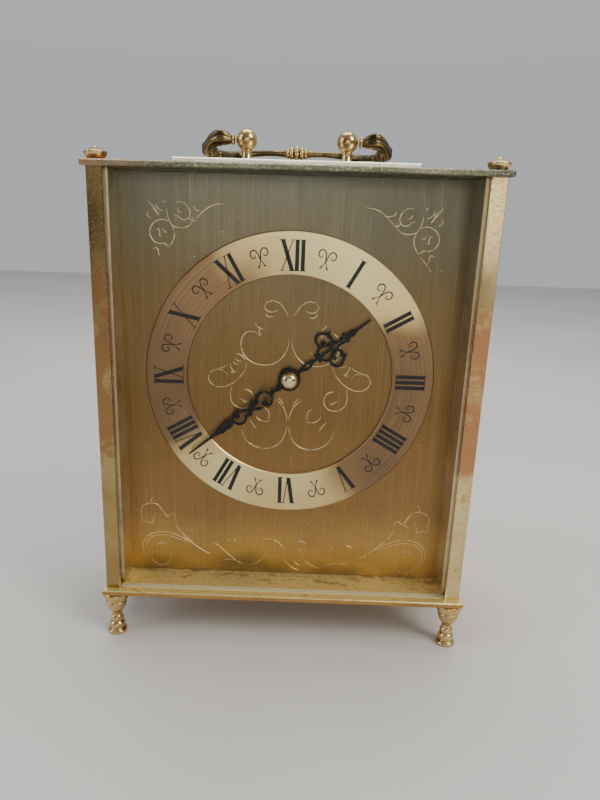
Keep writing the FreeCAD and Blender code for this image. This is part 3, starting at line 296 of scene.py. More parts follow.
def brass(
    name,
    tones,
    rough,
    brush=None,
    brush_depth=0.003,
    brush_tone=0.25,
    wear=0.0,
    spots=0.0,
    spot_colour=(0.10, 0.09, 0.06),
    cloud=18.0,
    grooves=False,
    painted_shade_left=0.0,
):
    """Brass with slow changes of tone, brushing one way, tarnish spots, worn copper patches and painted shade on
    the left.
    """
    look = Look(name, Metallic=1.0)
    slow = look.noise(cloud, detail=4.0, roughness=0.6)
    colour = look.ramp(slow, (0.30, tones[0]), (0.50, tones[1]), (0.72, tones[2]))
    fine = look.noise(0.35, detail=3.0)
    layers = [(look.noise(1.4, detail=2.0), 0.004)]
    roughness = look.level(slow, 0.3, 0.7, rough[0], rough[1])
    if brush:
        lines = look.noise(brush, detail=3.0, roughness=0.65)
        dark = tuple(c * 0.45 for c in tones[0])
        colour = look.mix(look.level(lines, 0.42, 0.66, 0.0, brush_tone), colour, dark)
        light = tuple(min(1.0, c * 1.25 + 0.04) for c in tones[2])
        colour = look.mix(look.level(lines, 0.56, 0.34, 0.0, brush_tone * 0.7), colour, light)
        roughness = look.maths("ADD", roughness, look.level(lines, 0.3, 0.7, -0.05, 0.10))
        layers.append((lines, brush_depth))
    if wear:
        patch = look.noise(22.0, detail=5.0, roughness=0.68, distortion=0.6)
        off_middle = look.maths("ABSOLUTE", look.maths("SUBTRACT", look.axis("Z"), DIAL_CENTRE.z))
        held = look.level(off_middle, 0.022, 0.045, 0.12, -0.10)
        share = look.level(look.maths("ADD", patch, held), 0.50, 0.60, 0.0, wear)
        colour = look.mix(share, colour, (0.42, 0.19, 0.085))
        roughness = look.maths("ADD", roughness, look.maths("MULTIPLY", share, 0.10))
    if spots:
        dots = look.maths("MULTIPLY", look.level(look.cells(1.3), 0.32, 0.12), look.level(fine, 0.50, 0.60))
        colour = look.mix(look.maths("MULTIPLY", dots, spots), colour, spot_colour)
        roughness = look.maths("ADD", roughness, look.maths("MULTIPLY", dots, 0.35))
    if grooves:
        hollow = look.groove()
        colour = look.mix(look.level(hollow, 0.05, 0.7, 0.0, 0.85), colour, tuple(c * 0.22 for c in tones[0]))
        roughness = look.maths("ADD", roughness, look.level(hollow, 0.0, 0.8, 0.0, 0.3))
    if painted_shade_left:
        # painted shade: darker towards the left of the case, in a dull brown
        across = look.maths("ADD", look.axis("X"), look.maths("MULTIPLY", slow, 0.02))
        left_shade = look.level(across, 0.02, -0.02)
        colour = look.mix(look.maths("MULTIPLY", left_shade, painted_shade_left), colour, (0.21, 0.12, 0.04))
    look.set(Base_Color=colour, Roughness=roughness)
    look.bump(*layers)
    return look.material


def dial_look():
    """Satin brass brushed up and down, grey green at the top, brown in the middle and gold at the foot.

    The tone by height is partly the brass's own and partly painted light: the darker top and the duller
    upper right are painted shade, and the bright gold band near the foot is a painted reflection of the floor.
    """
    look = Look("dial_brass", Metallic=1.0, Anisotropic=0.5)
    lines = look.noise((0.2, 2.0, 40.0), detail=2.0, roughness=0.8)
    weave = look.noise((9.0, 9.0, 0.5), detail=2.0)
    cloud = look.noise((40.0, 20.0, 26.0), detail=2.0)
    height = look.maths("ADD", look.axis("Z"), look.level(cloud, 0.3, 0.7, -0.006, 0.006))
    # tone by height, partly painted light: painted shade at the top, painted reflection of the floor in the bright
    # band near the foot
    tone = look.ramp(
        look.level(height, DIAL_LOW.z, DIAL_HIGH.z),
        (0.0, (0.26, 0.17, 0.06)),
        (0.035, (0.60, 0.36, 0.09)),
        (0.10, (0.46, 0.27, 0.08)),
        (0.17, (0.33, 0.185, 0.062)),
        (0.45, (0.215, 0.12, 0.04)),
        (0.72, (0.21, 0.14, 0.062)),
        (0.88, (0.18, 0.16, 0.10)),
        (1.0, (0.165, 0.17, 0.135)),
    )
    # painted shade: the upper right of the dial is darkened
    shade_rightward = look.level(look.axis("X"), -0.01, 0.05)
    shade_upward = look.level(height, DIAL_CENTRE.z, DIAL_HIGH.z, 0.0, 0.6)
    tone = look.mix(look.maths("MULTIPLY", shade_rightward, shade_upward), tone, (0.055, 0.058, 0.045))
    tone = look.mix(look.level(lines, 0.45, 0.70, 0.0, 0.22), tone, (0.13, 0.08, 0.03))
    tone = look.mix(look.level(lines, 0.55, 0.30, 0.0, 0.15), tone, (0.60, 0.42, 0.18))
    tone = look.mix(look.level(weave, 0.45, 0.65, 0.0, 0.12), tone, (0.16, 0.10, 0.04))
    dust = look.level(look.cells(3.1), 0.07, 0.03)
    dusty = look.level(look.noise(9.0), 0.5, 0.6)
    tone = look.mix(look.maths("MULTIPLY", dust, dusty), tone, (0.85, 0.78, 0.6))
    tangent = look.add("CombineXYZ", {"X": 0.0, "Y": 0.0, "Z": 1.0}).outputs[0]
    look.set(Base_Color=tone, Roughness=look.level(lines, 0.3, 0.7, 0.27, 0.40), Tangent=tangent)
    look.bump((lines, 0.003))
    return look.material


def ring_look():
    """Pale gold brushed round the centre, with a painted sheen: light and dark fans painted in by angle."""
    look = Look("ring_brass", Metallic=1.0, Anisotropic=0.7)
    centred = look.add("VectorMath", {0: look.place, 1: DIAL_CENTRE}, operation="SUBTRACT").outputs[0]
    parts = look.add("SeparateXYZ", {0: centred})
    x, z = parts.outputs["X"], parts.outputs["Z"]
    radius = look.add("VectorMath", {0: centred}, operation="LENGTH").outputs["Value"]
    angle = look.maths("ARCTAN2", z, x)
    polar = look.add("CombineXYZ", {"X": look.maths("MULTIPLY", radius, 6500.0), "Y": angle}).outputs[0]
    brushing = {"Vector": polar, "Scale": 1.0, "Detail": 3.0, "Roughness": 0.65}
    lines = look.add("TexNoise", brushing).outputs["Fac"]
    # painted sheen: a painted highlight and painted shade in fans by angle round the centre
    sheen_fan = look.maths("COSINE", look.maths("MULTIPLY", look.maths("SUBTRACT", angle, math.radians(72)), 2.0))
    flat = look.add("CombineXYZ", {"X": x, "Y": z}).outputs[0]
    uneven = look.add("TexNoise", {"Vector": flat, "Scale": 26.0, "Detail": 1.0}).outputs["Fac"]
    sheen_fan = look.maths("ADD", sheen_fan, look.level(uneven, 0.3, 0.7, -0.5, 0.5))
    tone = look.ramp(
        look.level(sheen_fan, -1.1, 1.1),
        (0.0, (0.13, 0.066, 0.030)),
        (0.42, (0.25, 0.14, 0.065)),
        (0.68, (0.84, 0.63, 0.28)),
        (1.0, (1.0, 0.86, 0.42)),
    )
    tone = look.mix(look.level(lines, 0.42, 0.62, 0.0, 0.16), tone, (0.36, 0.22, 0.10))
    tone = look.mix(look.level(lines, 0.56, 0.38, 0.0, 0.14), tone, (0.98, 0.84, 0.50))
    tangent = look.add("Tangent", direction_type="RADIAL", axis="Y").outputs[0]
    look.set(Base_Color=tone, Roughness=look.level(lines, 0.3, 0.7, 0.26, 0.38), Tangent=tangent)
    look.bump((lines, 0.003))
    return look.material


def base_look():
    """Gold with a pale, worn lacquer on its upper face, scraped to brown in short streaks near the dial."""
    look = Look("base_brass")
    slow = look.noise(24.0, detail=3.0)
    patch = look.noise((8.0, 3.2, 4.0), detail=6.0, roughness=0.75, distortion=0.5)
    gold = look.ramp(slow, (0.3, (0.36, 0.19, 0.055)), (0.7, (0.54, 0.31, 0.10)))
    lacquer = look.ramp(
        patch,
        (0.35, (1.0, 0.74, 0.25)),
        (0.5, (1.0, 0.84, 0.38)),
        (0.65, (0.94, 0.66, 0.20)),
    )
    upper = look.level(look.axis("Z"), UNDER_BASE + 1.5 * MM, UNDER_BASE + 1.9 * MM)
    colour = look.mix(upper, gold, lacquer)
    rear = look.level(look.axis("Y"), -0.027, -0.016, 0.0, 0.10)
    scraped = look.level(look.maths("ADD", patch, rear), 0.60, 0.655)
    colour = look.mix(look.maths("MULTIPLY", scraped, 0.75), colour, (0.44, 0.26, 0.09))
    look.set(Base_Color=colour, Metallic=look.level(upper, 0.0, 1.0, 1.0, 0.72))
    rough = look.level(patch, 0.4, 0.6, 0.26, 0.44)
    look.set(Roughness=look.maths("MULTIPLY", rough, look.level(upper, 0.0, 1.0, 0.6, 1.0)))
    look.bump((patch, 0.03), (look.noise(0.5), 0.002))
    return look.material


def top_look():
    """Tarnished plate: grey green speckle on the edges, with the lacquer worn to copper at one corner."""
    look = Look("top_brass", Metallic=1.0)
    grain = look.noise(0.7, detail=4.0, roughness=0.7)
    slow = look.noise((22.0, 12.0, 12.0), detail=4.0, roughness=0.6)
    colour = look.ramp(
        slow,
        (0.3, (0.10, 0.10, 0.065)),
        (0.52, (0.16, 0.155, 0.105)),
        (0.72, (0.27, 0.25, 0.17)),
    )
    colour = look.mix(look.level(grain, 0.50, 0.62, 0.0, 0.65), colour, (0.07, 0.085, 0.06))
    colour = look.mix(look.level(grain, 0.44, 0.36, 0.0, 0.5), colour, (0.50, 0.48, 0.36))
    corner = look.level(look.maths("ADD", look.axis("X"), look.maths("MULTIPLY", slow, 0.05)), -0.018, -0.042)
    colour = look.mix(look.maths("MULTIPLY", corner, 0.8), colour, (0.50, 0.27, 0.15))
    look.set(Base_Color=colour, Roughness=look.level(grain, 0.3, 0.7, 0.26, 0.46))
    look.bump((grain, 0.008))
    return look.material


def plastic(name, colour, rough=0.45, grain=0.25, depth=0.01, coat=0.0):
    """Moulded plastic: a fine grain, slightly uneven in tone and gloss."""
    look = Look(name, Coat_Weight=coat)
    fine = look.noise(grain, detail=3.0)
    slow = look.noise(14.0, detail=3.0)
    light = tuple(min(1.0, c * 1.18 + 0.01) for c in colour)
    dark = tuple(c * 0.82 for c in colour)
    look.set(Base_Color=look.ramp(slow, (0.3, dark), (0.5, colour), (0.7, light)))
    look.set(Roughness=look.level(fine, 0.3, 0.7, rough - 0.08, rough + 0.08))
    look.bump((fine, depth))
    return look.material


def metal(name, colour, rough=0.25, brush=(0.2, 0.2, 6.0), depth=0.002):
    """Plain metal with faint tool lines and a little staining."""
    look = Look(name, Metallic=1.0)
    lines = look.noise(brush, detail=3.0, roughness=0.6)
    slow = look.noise(6.0, detail=4.0)
    dark = tuple(c * 0.62 for c in colour)
    tone = look.ramp(slow, (0.3, dark), (0.55, colour))
    tone = look.mix(look.level(lines, 0.45, 0.65, 0.0, 0.3), tone, dark)
    look.set(Base_Color=tone, Roughness=look.level(lines, 0.3, 0.7, rough * 0.8, rough * 1.35))
    look.bump((lines, depth))
    return look.material


def lacquer_look():
    """Black lacquer on thin sheet, with a little dust."""
    look = Look("hand_black", Specular_IOR_Level=0.22)
    slow = look.noise(3.0, detail=4.0)
    fine = look.noise(0.4, detail=2.0)
    tone = look.ramp(slow, (0.35, (0.002, 0.002, 0.0025)), (0.7, (0.007, 0.006, 0.006)))
    tone = look.mix(look.level(fine, 0.66, 0.76, 0.0, 0.3), tone, (0.05, 0.045, 0.04))
    look.set(Base_Color=tone, Roughness=look.level(fine, 0.3, 0.7, 0.20, 0.34))
    look.bump((fine, 0.002))
    return look.material


def glass_look():
    """Clear glass with a faint smear of dust and a pale ground edge at its foot."""
    look = Look("glass", IOR=1.5)
    smear = look.noise((20.0, 20.0, 35.0), detail=5.0, roughness=0.6, distortion=0.4)
    specks = look.level(look.cells(4.2), 0.05, 0.02)
    alpha = look.maths("ADD", look.level(smear, 0.45, 0.75, 0.03, 0.06), look.maths("MULTIPLY", specks, 0.05))
    foot = look.level(look.axis("Z"), UNDER_GLASS + 1.0 * MM, UNDER_GLASS + 0.7 * MM)
    clear = look.ramp(smear, (0.3, (0.05, 0.055, 0.055)), (0.7, (0.10, 0.10, 0.095)))
    look.set(Base_Color=look.mix(foot, clear, (0.80, 0.72, 0.44)))
    look.set(Alpha=look.maths("ADD", alpha, look.maths("MULTIPLY", foot, 0.6)))
    look.set(Roughness=look.level(smear, 0.3, 0.7, 0.03, 0.08))
    return look.material


def battery_look():
    """A steel jacket in two plain printed colours, a dark body and a copper shoulder."""
    look = Look("battery_jacket", Metallic=0.6, Coat_Weight=0.5)
    along = look.axis("X")
    fine = look.noise((3.0, 0.4, 0.4), detail=3.0)
    band = look.level(along, 0.0135, 0.0138)
    colour = look.mix(band, (0.03, 0.035, 0.05), (0.62, 0.33, 0.14))
    ends = look.maths("ADD", look.level(along, 0.0236, 0.0238), look.level(along, -0.0243, -0.0245))
    colour = look.mix(look.maths("MINIMUM", ends, 1.0), colour, (0.72, 0.72, 0.70))
    colour = look.mix(look.level(fine, 0.55, 0.7, 0.0, 0.3), colour, (0.30, 0.26, 0.22))
    look.set(Base_Color=colour, Roughness=look.level(fine, 0.3, 0.7, 0.2, 0.36))
    look.bump((fine, 0.003))
    return look.material


def winding_look():
    """Enamelled copper wire laid in close turns."""
    look = Look("copper", Metallic=1.0, Coat_Weight=0.4)
    turns = look.add("TexWave", {"Vector": look.spread((1.0, 1.0, 0.6)), "Scale": 1.0}, bands_direction="Z")
    wave = turns.outputs["Fac"]
    slow = look.noise(3.0)
    colour = look.mix(look.level(wave, 0.0, 0.4, 0.7, 0.0), (0.72, 0.33, 0.15), (0.16, 0.06, 0.03))
    colour = look.mix(look.level(slow, 0.4, 0.7, 0.0, 0.4), colour, (0.80, 0.48, 0.26))
    look.set(Base_Color=colour, Roughness=0.28)
    look.bump((wave, 0.05))
    return look.material


LOOKS = {
    "base_brass": base_look(),
    "top_brass": top_look(),
    "cover_brass": brass(
        "cover_brass",
        ((0.56, 0.52, 0.40), (0.72, 0.67, 0.52), (0.86, 0.81, 0.66)),
        rough=(0.24, 0.34),
        brush=(9.0, 0.3, 0.3),
        spots=0.5,
        spot_colour=(0.20, 0.19, 0.15),
    ),
    "pillar_brass": brass(
        "pillar_brass",
        ((0.40, 0.27, 0.11), (0.62, 0.45, 0.20), (0.84, 0.68, 0.36)),
        rough=(0.10, 0.22),
        brush=(2.4, 0.9, 0.22),
        wear=0.85,
        spots=0.6,
        cloud=34.0,
        painted_shade_left=0.6,
    ),
    "turned_brass": brass(
        "turned_brass",
        ((0.44, 0.28, 0.10), (0.66, 0.46, 0.20), (0.86, 0.66, 0.34)),
        rough=(0.12, 0.22),
        brush=(6.0, 6.0, 0.16),
        brush_depth=0.002,
        brush_tone=0.15,
        spots=0.3,
        grooves=True,
    ),
    "handle_brass": brass(
        "handle_brass",
        ((0.05, 0.035, 0.018), (0.13, 0.09, 0.042), (0.40, 0.29, 0.13)),
        rough=(0.16, 0.32),
        spots=0.8,
        cloud=5.0,
        grooves=True,
    ),
    "panel_brass": brass(
        "panel_brass",
        ((0.54, 0.36, 0.15), (0.62, 0.43, 0.19), (0.70, 0.51, 0.25)),
        rough=(0.22, 0.32),
        brush=(0.3, 0.3, 60.0),
        brush_depth=0.002,
        brush_tone=0.14,
        spots=0.15,
        cloud=60.0,
    ),
    "rail_brass": brass(
        "rail_brass",
        ((0.56, 0.47, 0.30), (0.72, 0.63, 0.44), (0.86, 0.79, 0.60)),
        rough=(0.26, 0.40),
        brush=(0.6, 0.3, 60.0),
    ),
    "dial_brass": dial_look(),
    "ring_brass": ring_look(),
    "cap_brass": brass(
        "cap_brass",
        ((0.62, 0.48, 0.24), (0.78, 0.62, 0.34), (0.90, 0.78, 0.48)),
        rough=(0.14, 0.22),
    ),
    "hand_black": lacquer_look(),
    "glass": glass_look(),
    "case_plastic": plastic("case_plastic", (0.028, 0.028, 0.030), 0.5, 0.2, 0.02),
    "bridge_plastic": plastic("bridge_plastic", (0.50, 0.46, 0.38), 0.5),
    "wheel_plastic": plastic("wheel_plastic", (0.84, 0.81, 0.70), 0.34, 0.3, 0.004, 0.3),
    "gasket_rubber": plastic("gasket_rubber", (0.03, 0.03, 0.03), 0.8, 0.3, 0.03),
    "battery_jacket": battery_look(),
    "contact_steel": metal("contact_steel", (0.76, 0.75, 0.72), 0.22),
    "nut_steel": metal("nut_steel", (0.72, 0.70, 0.66), 0.20, (4.0, 4.0, 0.2)),
    "arbor_steel": metal("arbor_steel", (0.62, 0.62, 0.61), 0.30, (0.3, 5.0, 0.3)),
    "magnet": metal("magnet", (0.24, 0.24, 0.25), 0.55, (0.4, 0.4, 0.4), 0.01),
    "copper": winding_look(),
    "board": plastic("board", (0.05, 0.22, 0.09), 0.30, 0.6, 0.01, 0.5),
    "chip": plastic("chip", (0.015, 0.015, 0.016), 0.25, 0.4, 0.006, 0.4),
}

# ---------------------------------------------------------------- CAD nodes: their finish and softened edges
SLOT_OF = {row["node"]: row["material_slot"] for row in frame["record"]["subparts"]}
SOFTENED = {  # each bevel's width in millimetres
    "hour_hand": 0.10,
    "minute_hand": 0.10,
    "side_panel_left": 0.12,
    "side_panel_right": 0.12,
    "glass_rail_left": 0.10,
    "glass_rail_right": 0.10,
    "back_door": 0.25,
    "door_stop": 0.3,
    "movement_case_front": 0.3,
    "movement_case_back": 0.3,
    "circuit_board": 0.1,
    "train_bridge": 0.12,
}
for node, cad in frame["nodes"].items():
    cad.data.materials.clear()
    cad.data.materials.append(LOOKS[SLOT_OF[node]])
    if node in SOFTENED:
        bevel = cad.modifiers.new("soft_edges", "BEVEL")
        bevel.width = SOFTENED[node] * MM
        bevel.segments = 2
        bevel.limit_method = "ANGLE"
        bevel.angle_limit = math.radians(40)

# ---------------------------------------------------------------- turned feet, finials and ball posts
FOOT_PROFILE = rounded(
    [
        (0.01, 0.0), (3.1, 0.0), None,
        (3.2, 0.02), (3.5, 0.2), (3.61, 0.6), (3.58, 1.0), (3.35, 1.35), None,
        (2.75, 1.5), (2.55, 1.75), (2.7, 1.95), None,
        (2.8, 2.05), (2.94, 2.7), (2.94, 3.3), (2.8, 4.0), (2.45, 4.55), None,
        (2.2, 4.7), (2.15, 4.85), None,
        (2.3, 4.95), (2.46, 5.5), (2.48, 6.0), (2.35, 6.6), (2.05, 7.15), None,
        (1.88, 7.3), (1.8, 7.8), (1.84, 8.3), (2.15, 8.9), (2.75, 9.8), (3.3, 10.8), (3.72, 11.9),
        (3.95, 12.9), (3.99, 13.5), None,
        (3.85, 13.75), (3.75, 13.9), (3.8, 14.05), None,
        (4.15, 14.15), (4.5, 14.6), (4.68, 15.3), (4.71, 15.9), (4.68, 16.5), (4.5, 17.15),
        (4.15, 17.6), None,
        (3.88, 17.7), (3.86, 18.3), None,
        (0.01, 18.3),
    ]
)
FINIAL_PROFILE = rounded(
    [
        (0.01, 0.0), (2.3, 0.0), None,
        (2.36, 0.1), (2.75, 0.45), (3.25, 1.05), (3.58, 1.7), (3.71, 2.3), None,
        (3.71, 2.4), (3.55, 2.62), (2.9, 2.95), (2.1, 3.3), (1.3, 3.68), (0.75, 4.0), (0.35, 4.22),
        (0.01, 4.28),
    ]
)
POST_PROFILE = rounded(
    [
        (0.01, 0.0), (3.05, 0.0), None,
        (3.1, 0.08), (3.1, 0.6), (2.95, 0.78), None,
        (2.5, 0.95), (2.05, 1.6), (1.8, 2.4), (1.62, 3.3), (1.55, 4.0), None,
        (1.75, 4.1), (1.95, 4.3), (1.8, 4.52),
    ]
)
BALL_RADIUS = 3.7
BALL_HEIGHT = (HANDLE_PIVOT.z - TOP_OF_COVER) / MM
BALL_STEPS = 30
NECK_RADIUS = 1.6  # the ball starts where it is wider than the neck below it
for step in range(1, BALL_STEPS):
    turn = math.pi * (1 - step / BALL_STEPS)
    if BALL_RADIUS * math.sin(turn) > NECK_RADIUS or turn < math.pi / 2:
        POST_PROFILE.append((BALL_RADIUS * math.sin(turn), BALL_HEIGHT + BALL_RADIUS * math.cos(turn)))
POST_PROFILE.append((0.01, BALL_HEIGHT + BALL_RADIUS))

for corner in CORNERS:
    middle = middle_of(f"foot_{corner}")
    foot = turned(f"turned_foot_{corner}", FOOT_PROFILE, Vector((middle.x, middle.y, 0)))
    finish_piece(foot, LOOKS["turned_brass"], "turned_brass", "case", f"foot_{corner}")
    middle = middle_of(f"finial_{corner}")
    finial = turned(f"turned_finial_{corner}", FINIAL_PROFILE, Vector((middle.x, middle.y, TOP_OF_PLATE)))
    finish_piece(finial, LOOKS["turned_brass"], "turned_brass", "case", f"finial_{corner}")
for side, sx in SIDES:
    low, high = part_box(f"handle_post_{side}")
    x = low.x + BALL_RADIUS * MM if sx > 0 else high.x - BALL_RADIUS * MM
    post = turned(f"ball_post_{side}", POST_PROFILE, Vector((x, 0, TOP_OF_COVER)), groove_reach=2)
    finish_piece(post, LOOKS["turned_brass"], "turned_brass", "case", f"handle_post_{side}")

# ---------------------------------------------------------------- the bail handle
GRIP_OUT = 24.8  # from the pivot's axis to the grip's, in millimetres
# X, Y and Z from the pivot and the radius, in millimetres, for the right half before it is tilted to rest.
ARM = (
    (21.9, 0.0, 0.0, 1.5),
    (22.9, 0.0, 0.0, 1.35),
    (24.4, -0.1, 0.1, 1.85),
    (26.9, -0.3, 0.5, 2.55),
    (29.2, 0.7, 0.0, 2.25),
    (30.8, 2.6, -1.0, 2.0),
    (31.6, 5.0, -2.0, 2.45),
    (31.9, 8.2, -2.6, 2.3),
    (30.7, 11.8, -3.0, 1.95),
    (28.4, 14.9, -2.9, 1.85),
    (26.6, 18.0, -2.5, 1.7),
    (24.3, 21.2, -1.8, 1.55),
    (21.0, 23.6, -0.9, 1.45),
    (17.0, 24.7, -0.3, 1.30),
    (11.0, GRIP_OUT, 0.0, 1.05),
    (6.0, GRIP_OUT, 0.0, 1.2),
    (3.0, GRIP_OUT, 0.0, 1.6),
    (0.0, GRIP_OUT, 0.0, 1.7),
)
REST_TILT = math.radians(4.0)
HANDLE_SIDES = 28
BEAD_RINGS, BEAD_SIDES = 13, 60


def handle_point(x, y, z):
    """A point of the bail, in millimetres from the pivot, put in the frame at rest."""
    tilted = Matrix.Rotation(-REST_TILT, 3, "X") @ Vector((x, y, z))
    return tilted * MM + HANDLE_PIVOT


def arm_relief(share, turn):
    """How far the casting stands out from its round bar: leaf ribs on the swell, rings at the bends."""
    ribs = 0.13 * math.cos(5 * turn + 9.0 * share) * max(0.0, math.sin(math.pi * min(1.0, share / 0.42)))
    rings = 0.16 * sum(math.exp(-(((share - at) / 0.008) ** 2)) for at in (0.035, 0.36, 0.385, 0.50, 0.70))
    return 1.0 + ribs + rings


def bail():
    """The cast bail: its right half from the pivot to the middle of the grip, then the same mirrored."""
    half = smooth_path(ARM, 12)
    stations = [(i / (len(half) - 1), p) for i, p in enumerate(half)]
    stations += [(share, (-p[0],) + p[1:]) for share, p in reversed(stations[:-1])]
    count = len(stations)
    vertices, values = [], []
    for i, (share, (x, y, z, radius)) in enumerate(stations):
        ahead = Vector(stations[min(i + 1, count - 1)][1][:3])
        behind = Vector(stations[max(i - 1, 0)][1][:3])
        along = (ahead - behind).normalized()
        across = along.cross(Vector((0, 0, 1))).normalized()
        up = across.cross(along)
        for k in range(HANDLE_SIDES):
            turn = 2 * math.pi * k / HANDLE_SIDES
            relief = arm_relief(share, turn)
            offset = (across * math.cos(turn) + up * math.sin(turn)) * radius * relief
            vertices.append(handle_point(*(Vector((x, y, z)) + offset)))
            values.append(max(0.0, min(1.0, (1.0 - relief) * 6.0)))
    faces = tube_faces(count, HANDLE_SIDES, flip=True)
    return mark_grooves(mesh_piece("bail_casting", vertices, faces), values)


def bead(name, x, radius, half_width, y=GRIP_OUT, reeds=0):
    """A bead round the grip, or round the pivot with y at 0, with a number of reeds cut along it."""
    vertices, values = [], []
    for i in range(BEAD_RINGS):
        t = -1 + 2 * i / (BEAD_RINGS - 1)
        r = radius * (0.62 + 0.38 * math.sqrt(max(0.0, 1 - t * t)))
        for k in range(BEAD_SIDES):
            a = 2 * math.pi * k / BEAD_SIDES
            cut = 1 - 0.09 * max(0.0, math.cos(reeds * a)) if reeds else 1.0
            out = r * cut
            vertices.append(handle_point(x + t * half_width, y + out * math.cos(a), out * math.sin(a)))
            values.append(0.8 if cut < 0.95 or abs(t) > 0.9 else 0.0)
    faces = tube_faces(BEAD_RINGS, BEAD_SIDES, flip=True)
    return mark_grooves(mesh_piece(name, vertices, faces), values)


HANDLE_BODY = body_with("handle")
finish_piece(bail(), LOOKS["handle_brass"], "handle_brass", HANDLE_BODY, "handle")
for name, x, radius, half_width, reeds in (
    ("middle", 0.0, 2.95, 0.95, 12),
    ("left", -1.95, 2.55, 0.85, 0),
    ("right", 1.95, 2.55, 0.85, 0),
    ("outer_left", -3.5, 2.05, 0.6, 0),
    ("outer_right", 3.5, 2.05, 0.6, 0),
):
    grip_bead = bead(f"grip_bead_{name}", x, radius, half_width, reeds=reeds)
    finish_piece(grip_bead, LOOKS["turned_brass"], "handle_brass", HANDLE_BODY)
for side, sx in SIDES:
    collar = bead(f"pivot_collar_{side}", sx * 22.5, 2.0, 0.5, y=0.0)
    finish_piece(collar, LOOKS["turned_brass"], "handle_brass", HANDLE_BODY)

# ---------------------------------------------------------------- engraving on the dial
# Each stroke is its width and then its points, in millimetres from the dial's centre. The centre, corner and
# border scrolls are drawn for the left half and mirrored. The left and right strokes stand alone.
CENTRE_SCROLLS = (
    (0.34, (-9.7, 25.8), (-8.9, 24.5), (-7.5, 23.9), (-6.1, 24.1), (-5.0, 24.7)),
    (0.33, (-9.3, 23.6), (-8.6, 22.5), (-7.5, 22.1), (-6.3, 22.4)),
    (0.28, (-9.7, 25.4), (-9.2, 26.8), (-7.8, 27.7), (-5.9, 27.8), (-3.7, 26.6), (-2.2, 24.7),
     (-1.1, 22.6)),
    (0.30, (-12.8, 20.0), (-12.1, 18.7), (-11.0, 18.0), (-9.9, 17.6)),
    (0.25, (-11.1, 18.0), (-11.4, 17.2), (-11.0, 16.0), (-10.8, 15.1)),
    (0.34, (-10.9, 15.2), (-12.3, 16.4), (-14.2, 16.8), (-16.0, 16.3), (-17.3, 14.6), (-17.8, 12.1),
     (-17.2, 9.2), (-15.4, 6.7), (-12.6, 5.1), (-9.4, 4.6), (-6.1, 5.1), (-3.5, 6.8), (-1.7, 9.3),
     (-0.7, 12.0), (-0.6, 14.6)),
    (0.33, (-19.3, 8.5), (-18.1, 8.2), (-17.0, 7.4), (-16.2, 6.2)),
    (0.26, (-19.9, 6.9), (-18.9, 5.9), (-17.3, 5.6)),
    (0.26, (-20.6, 5.4), (-19.5, 4.6), (-18.1, 4.5)),
    (0.25, (-16.8, 7.4), (-15.9, 5.6), (-15.9, 3.4), (-17.0, 1.2), (-19.0, -1.1), (-21.6, -3.1),
     (-24.6, -4.1), (-27.4, -3.7), (-29.2, -2.0), (-29.5, 0.0), (-28.2, 1.8), (-26.0, 2.4), (-24.0, 2.0),
     (-22.9, 0.9), (-22.5, 0.1)),
    (0.21, (-26.4, 2.6), (-24.2, 3.3), (-22.3, 4.4)),
    (0.28, (-21.9, 5.0), (-21.3, 3.3), (-20.6, 2.2), (-19.7, 1.6)),
    (0.25, (-22.0, 1.6), (-20.9, 1.5), (-19.7, 1.6)),
    (0.28, (-20.9, -3.6), (-21.5, -6.4), (-21.1, -9.2), (-19.7, -11.1), (-17.4, -12.0), (-15.0, -11.6),
     (-13.3, -9.8), (-13.0, -7.6), (-14.0, -5.8), (-16.2, -4.7)),
    (0.31, (-16.2, -4.6), (-14.7, -5.0), (-13.5, -5.9)),
    (0.26, (-17.9, -8.3), (-16.7, -8.9), (-15.8, -9.7), (-15.3, -9.0)),
    (0.30, (-5.0, -8.3), (-3.2, -9.5), (-1.7, -11.5), (-0.7, -13.9), (-0.35, -16.4)),
    (0.25, (-3.9, -7.5), (-2.5, -8.9), (-1.3, -10.8)),
    (0.28, (-17.3, -20.2), (-16.1, -23.4), (-13.9, -25.8), (-11.2, -27.1), (-8.3, -27.5), (-5.4, -26.9),
     (-3.0, -25.3), (-1.3, -22.6), (-0.5, -19.5), (-0.35, -16.4)),
    (0.25, (-8.9, -11.5), (-7.6, -12.4), (-7.0, -14.0), (-7.2, -16.6)),
    (0.30, (-12.1, -14.6), (-11.0, -16.0), (-9.2, -16.8), (-7.1, -16.7)),
    (0.28, (-14.3, -16.4), (-12.9, -18.2), (-11.8, -19.8)),
)
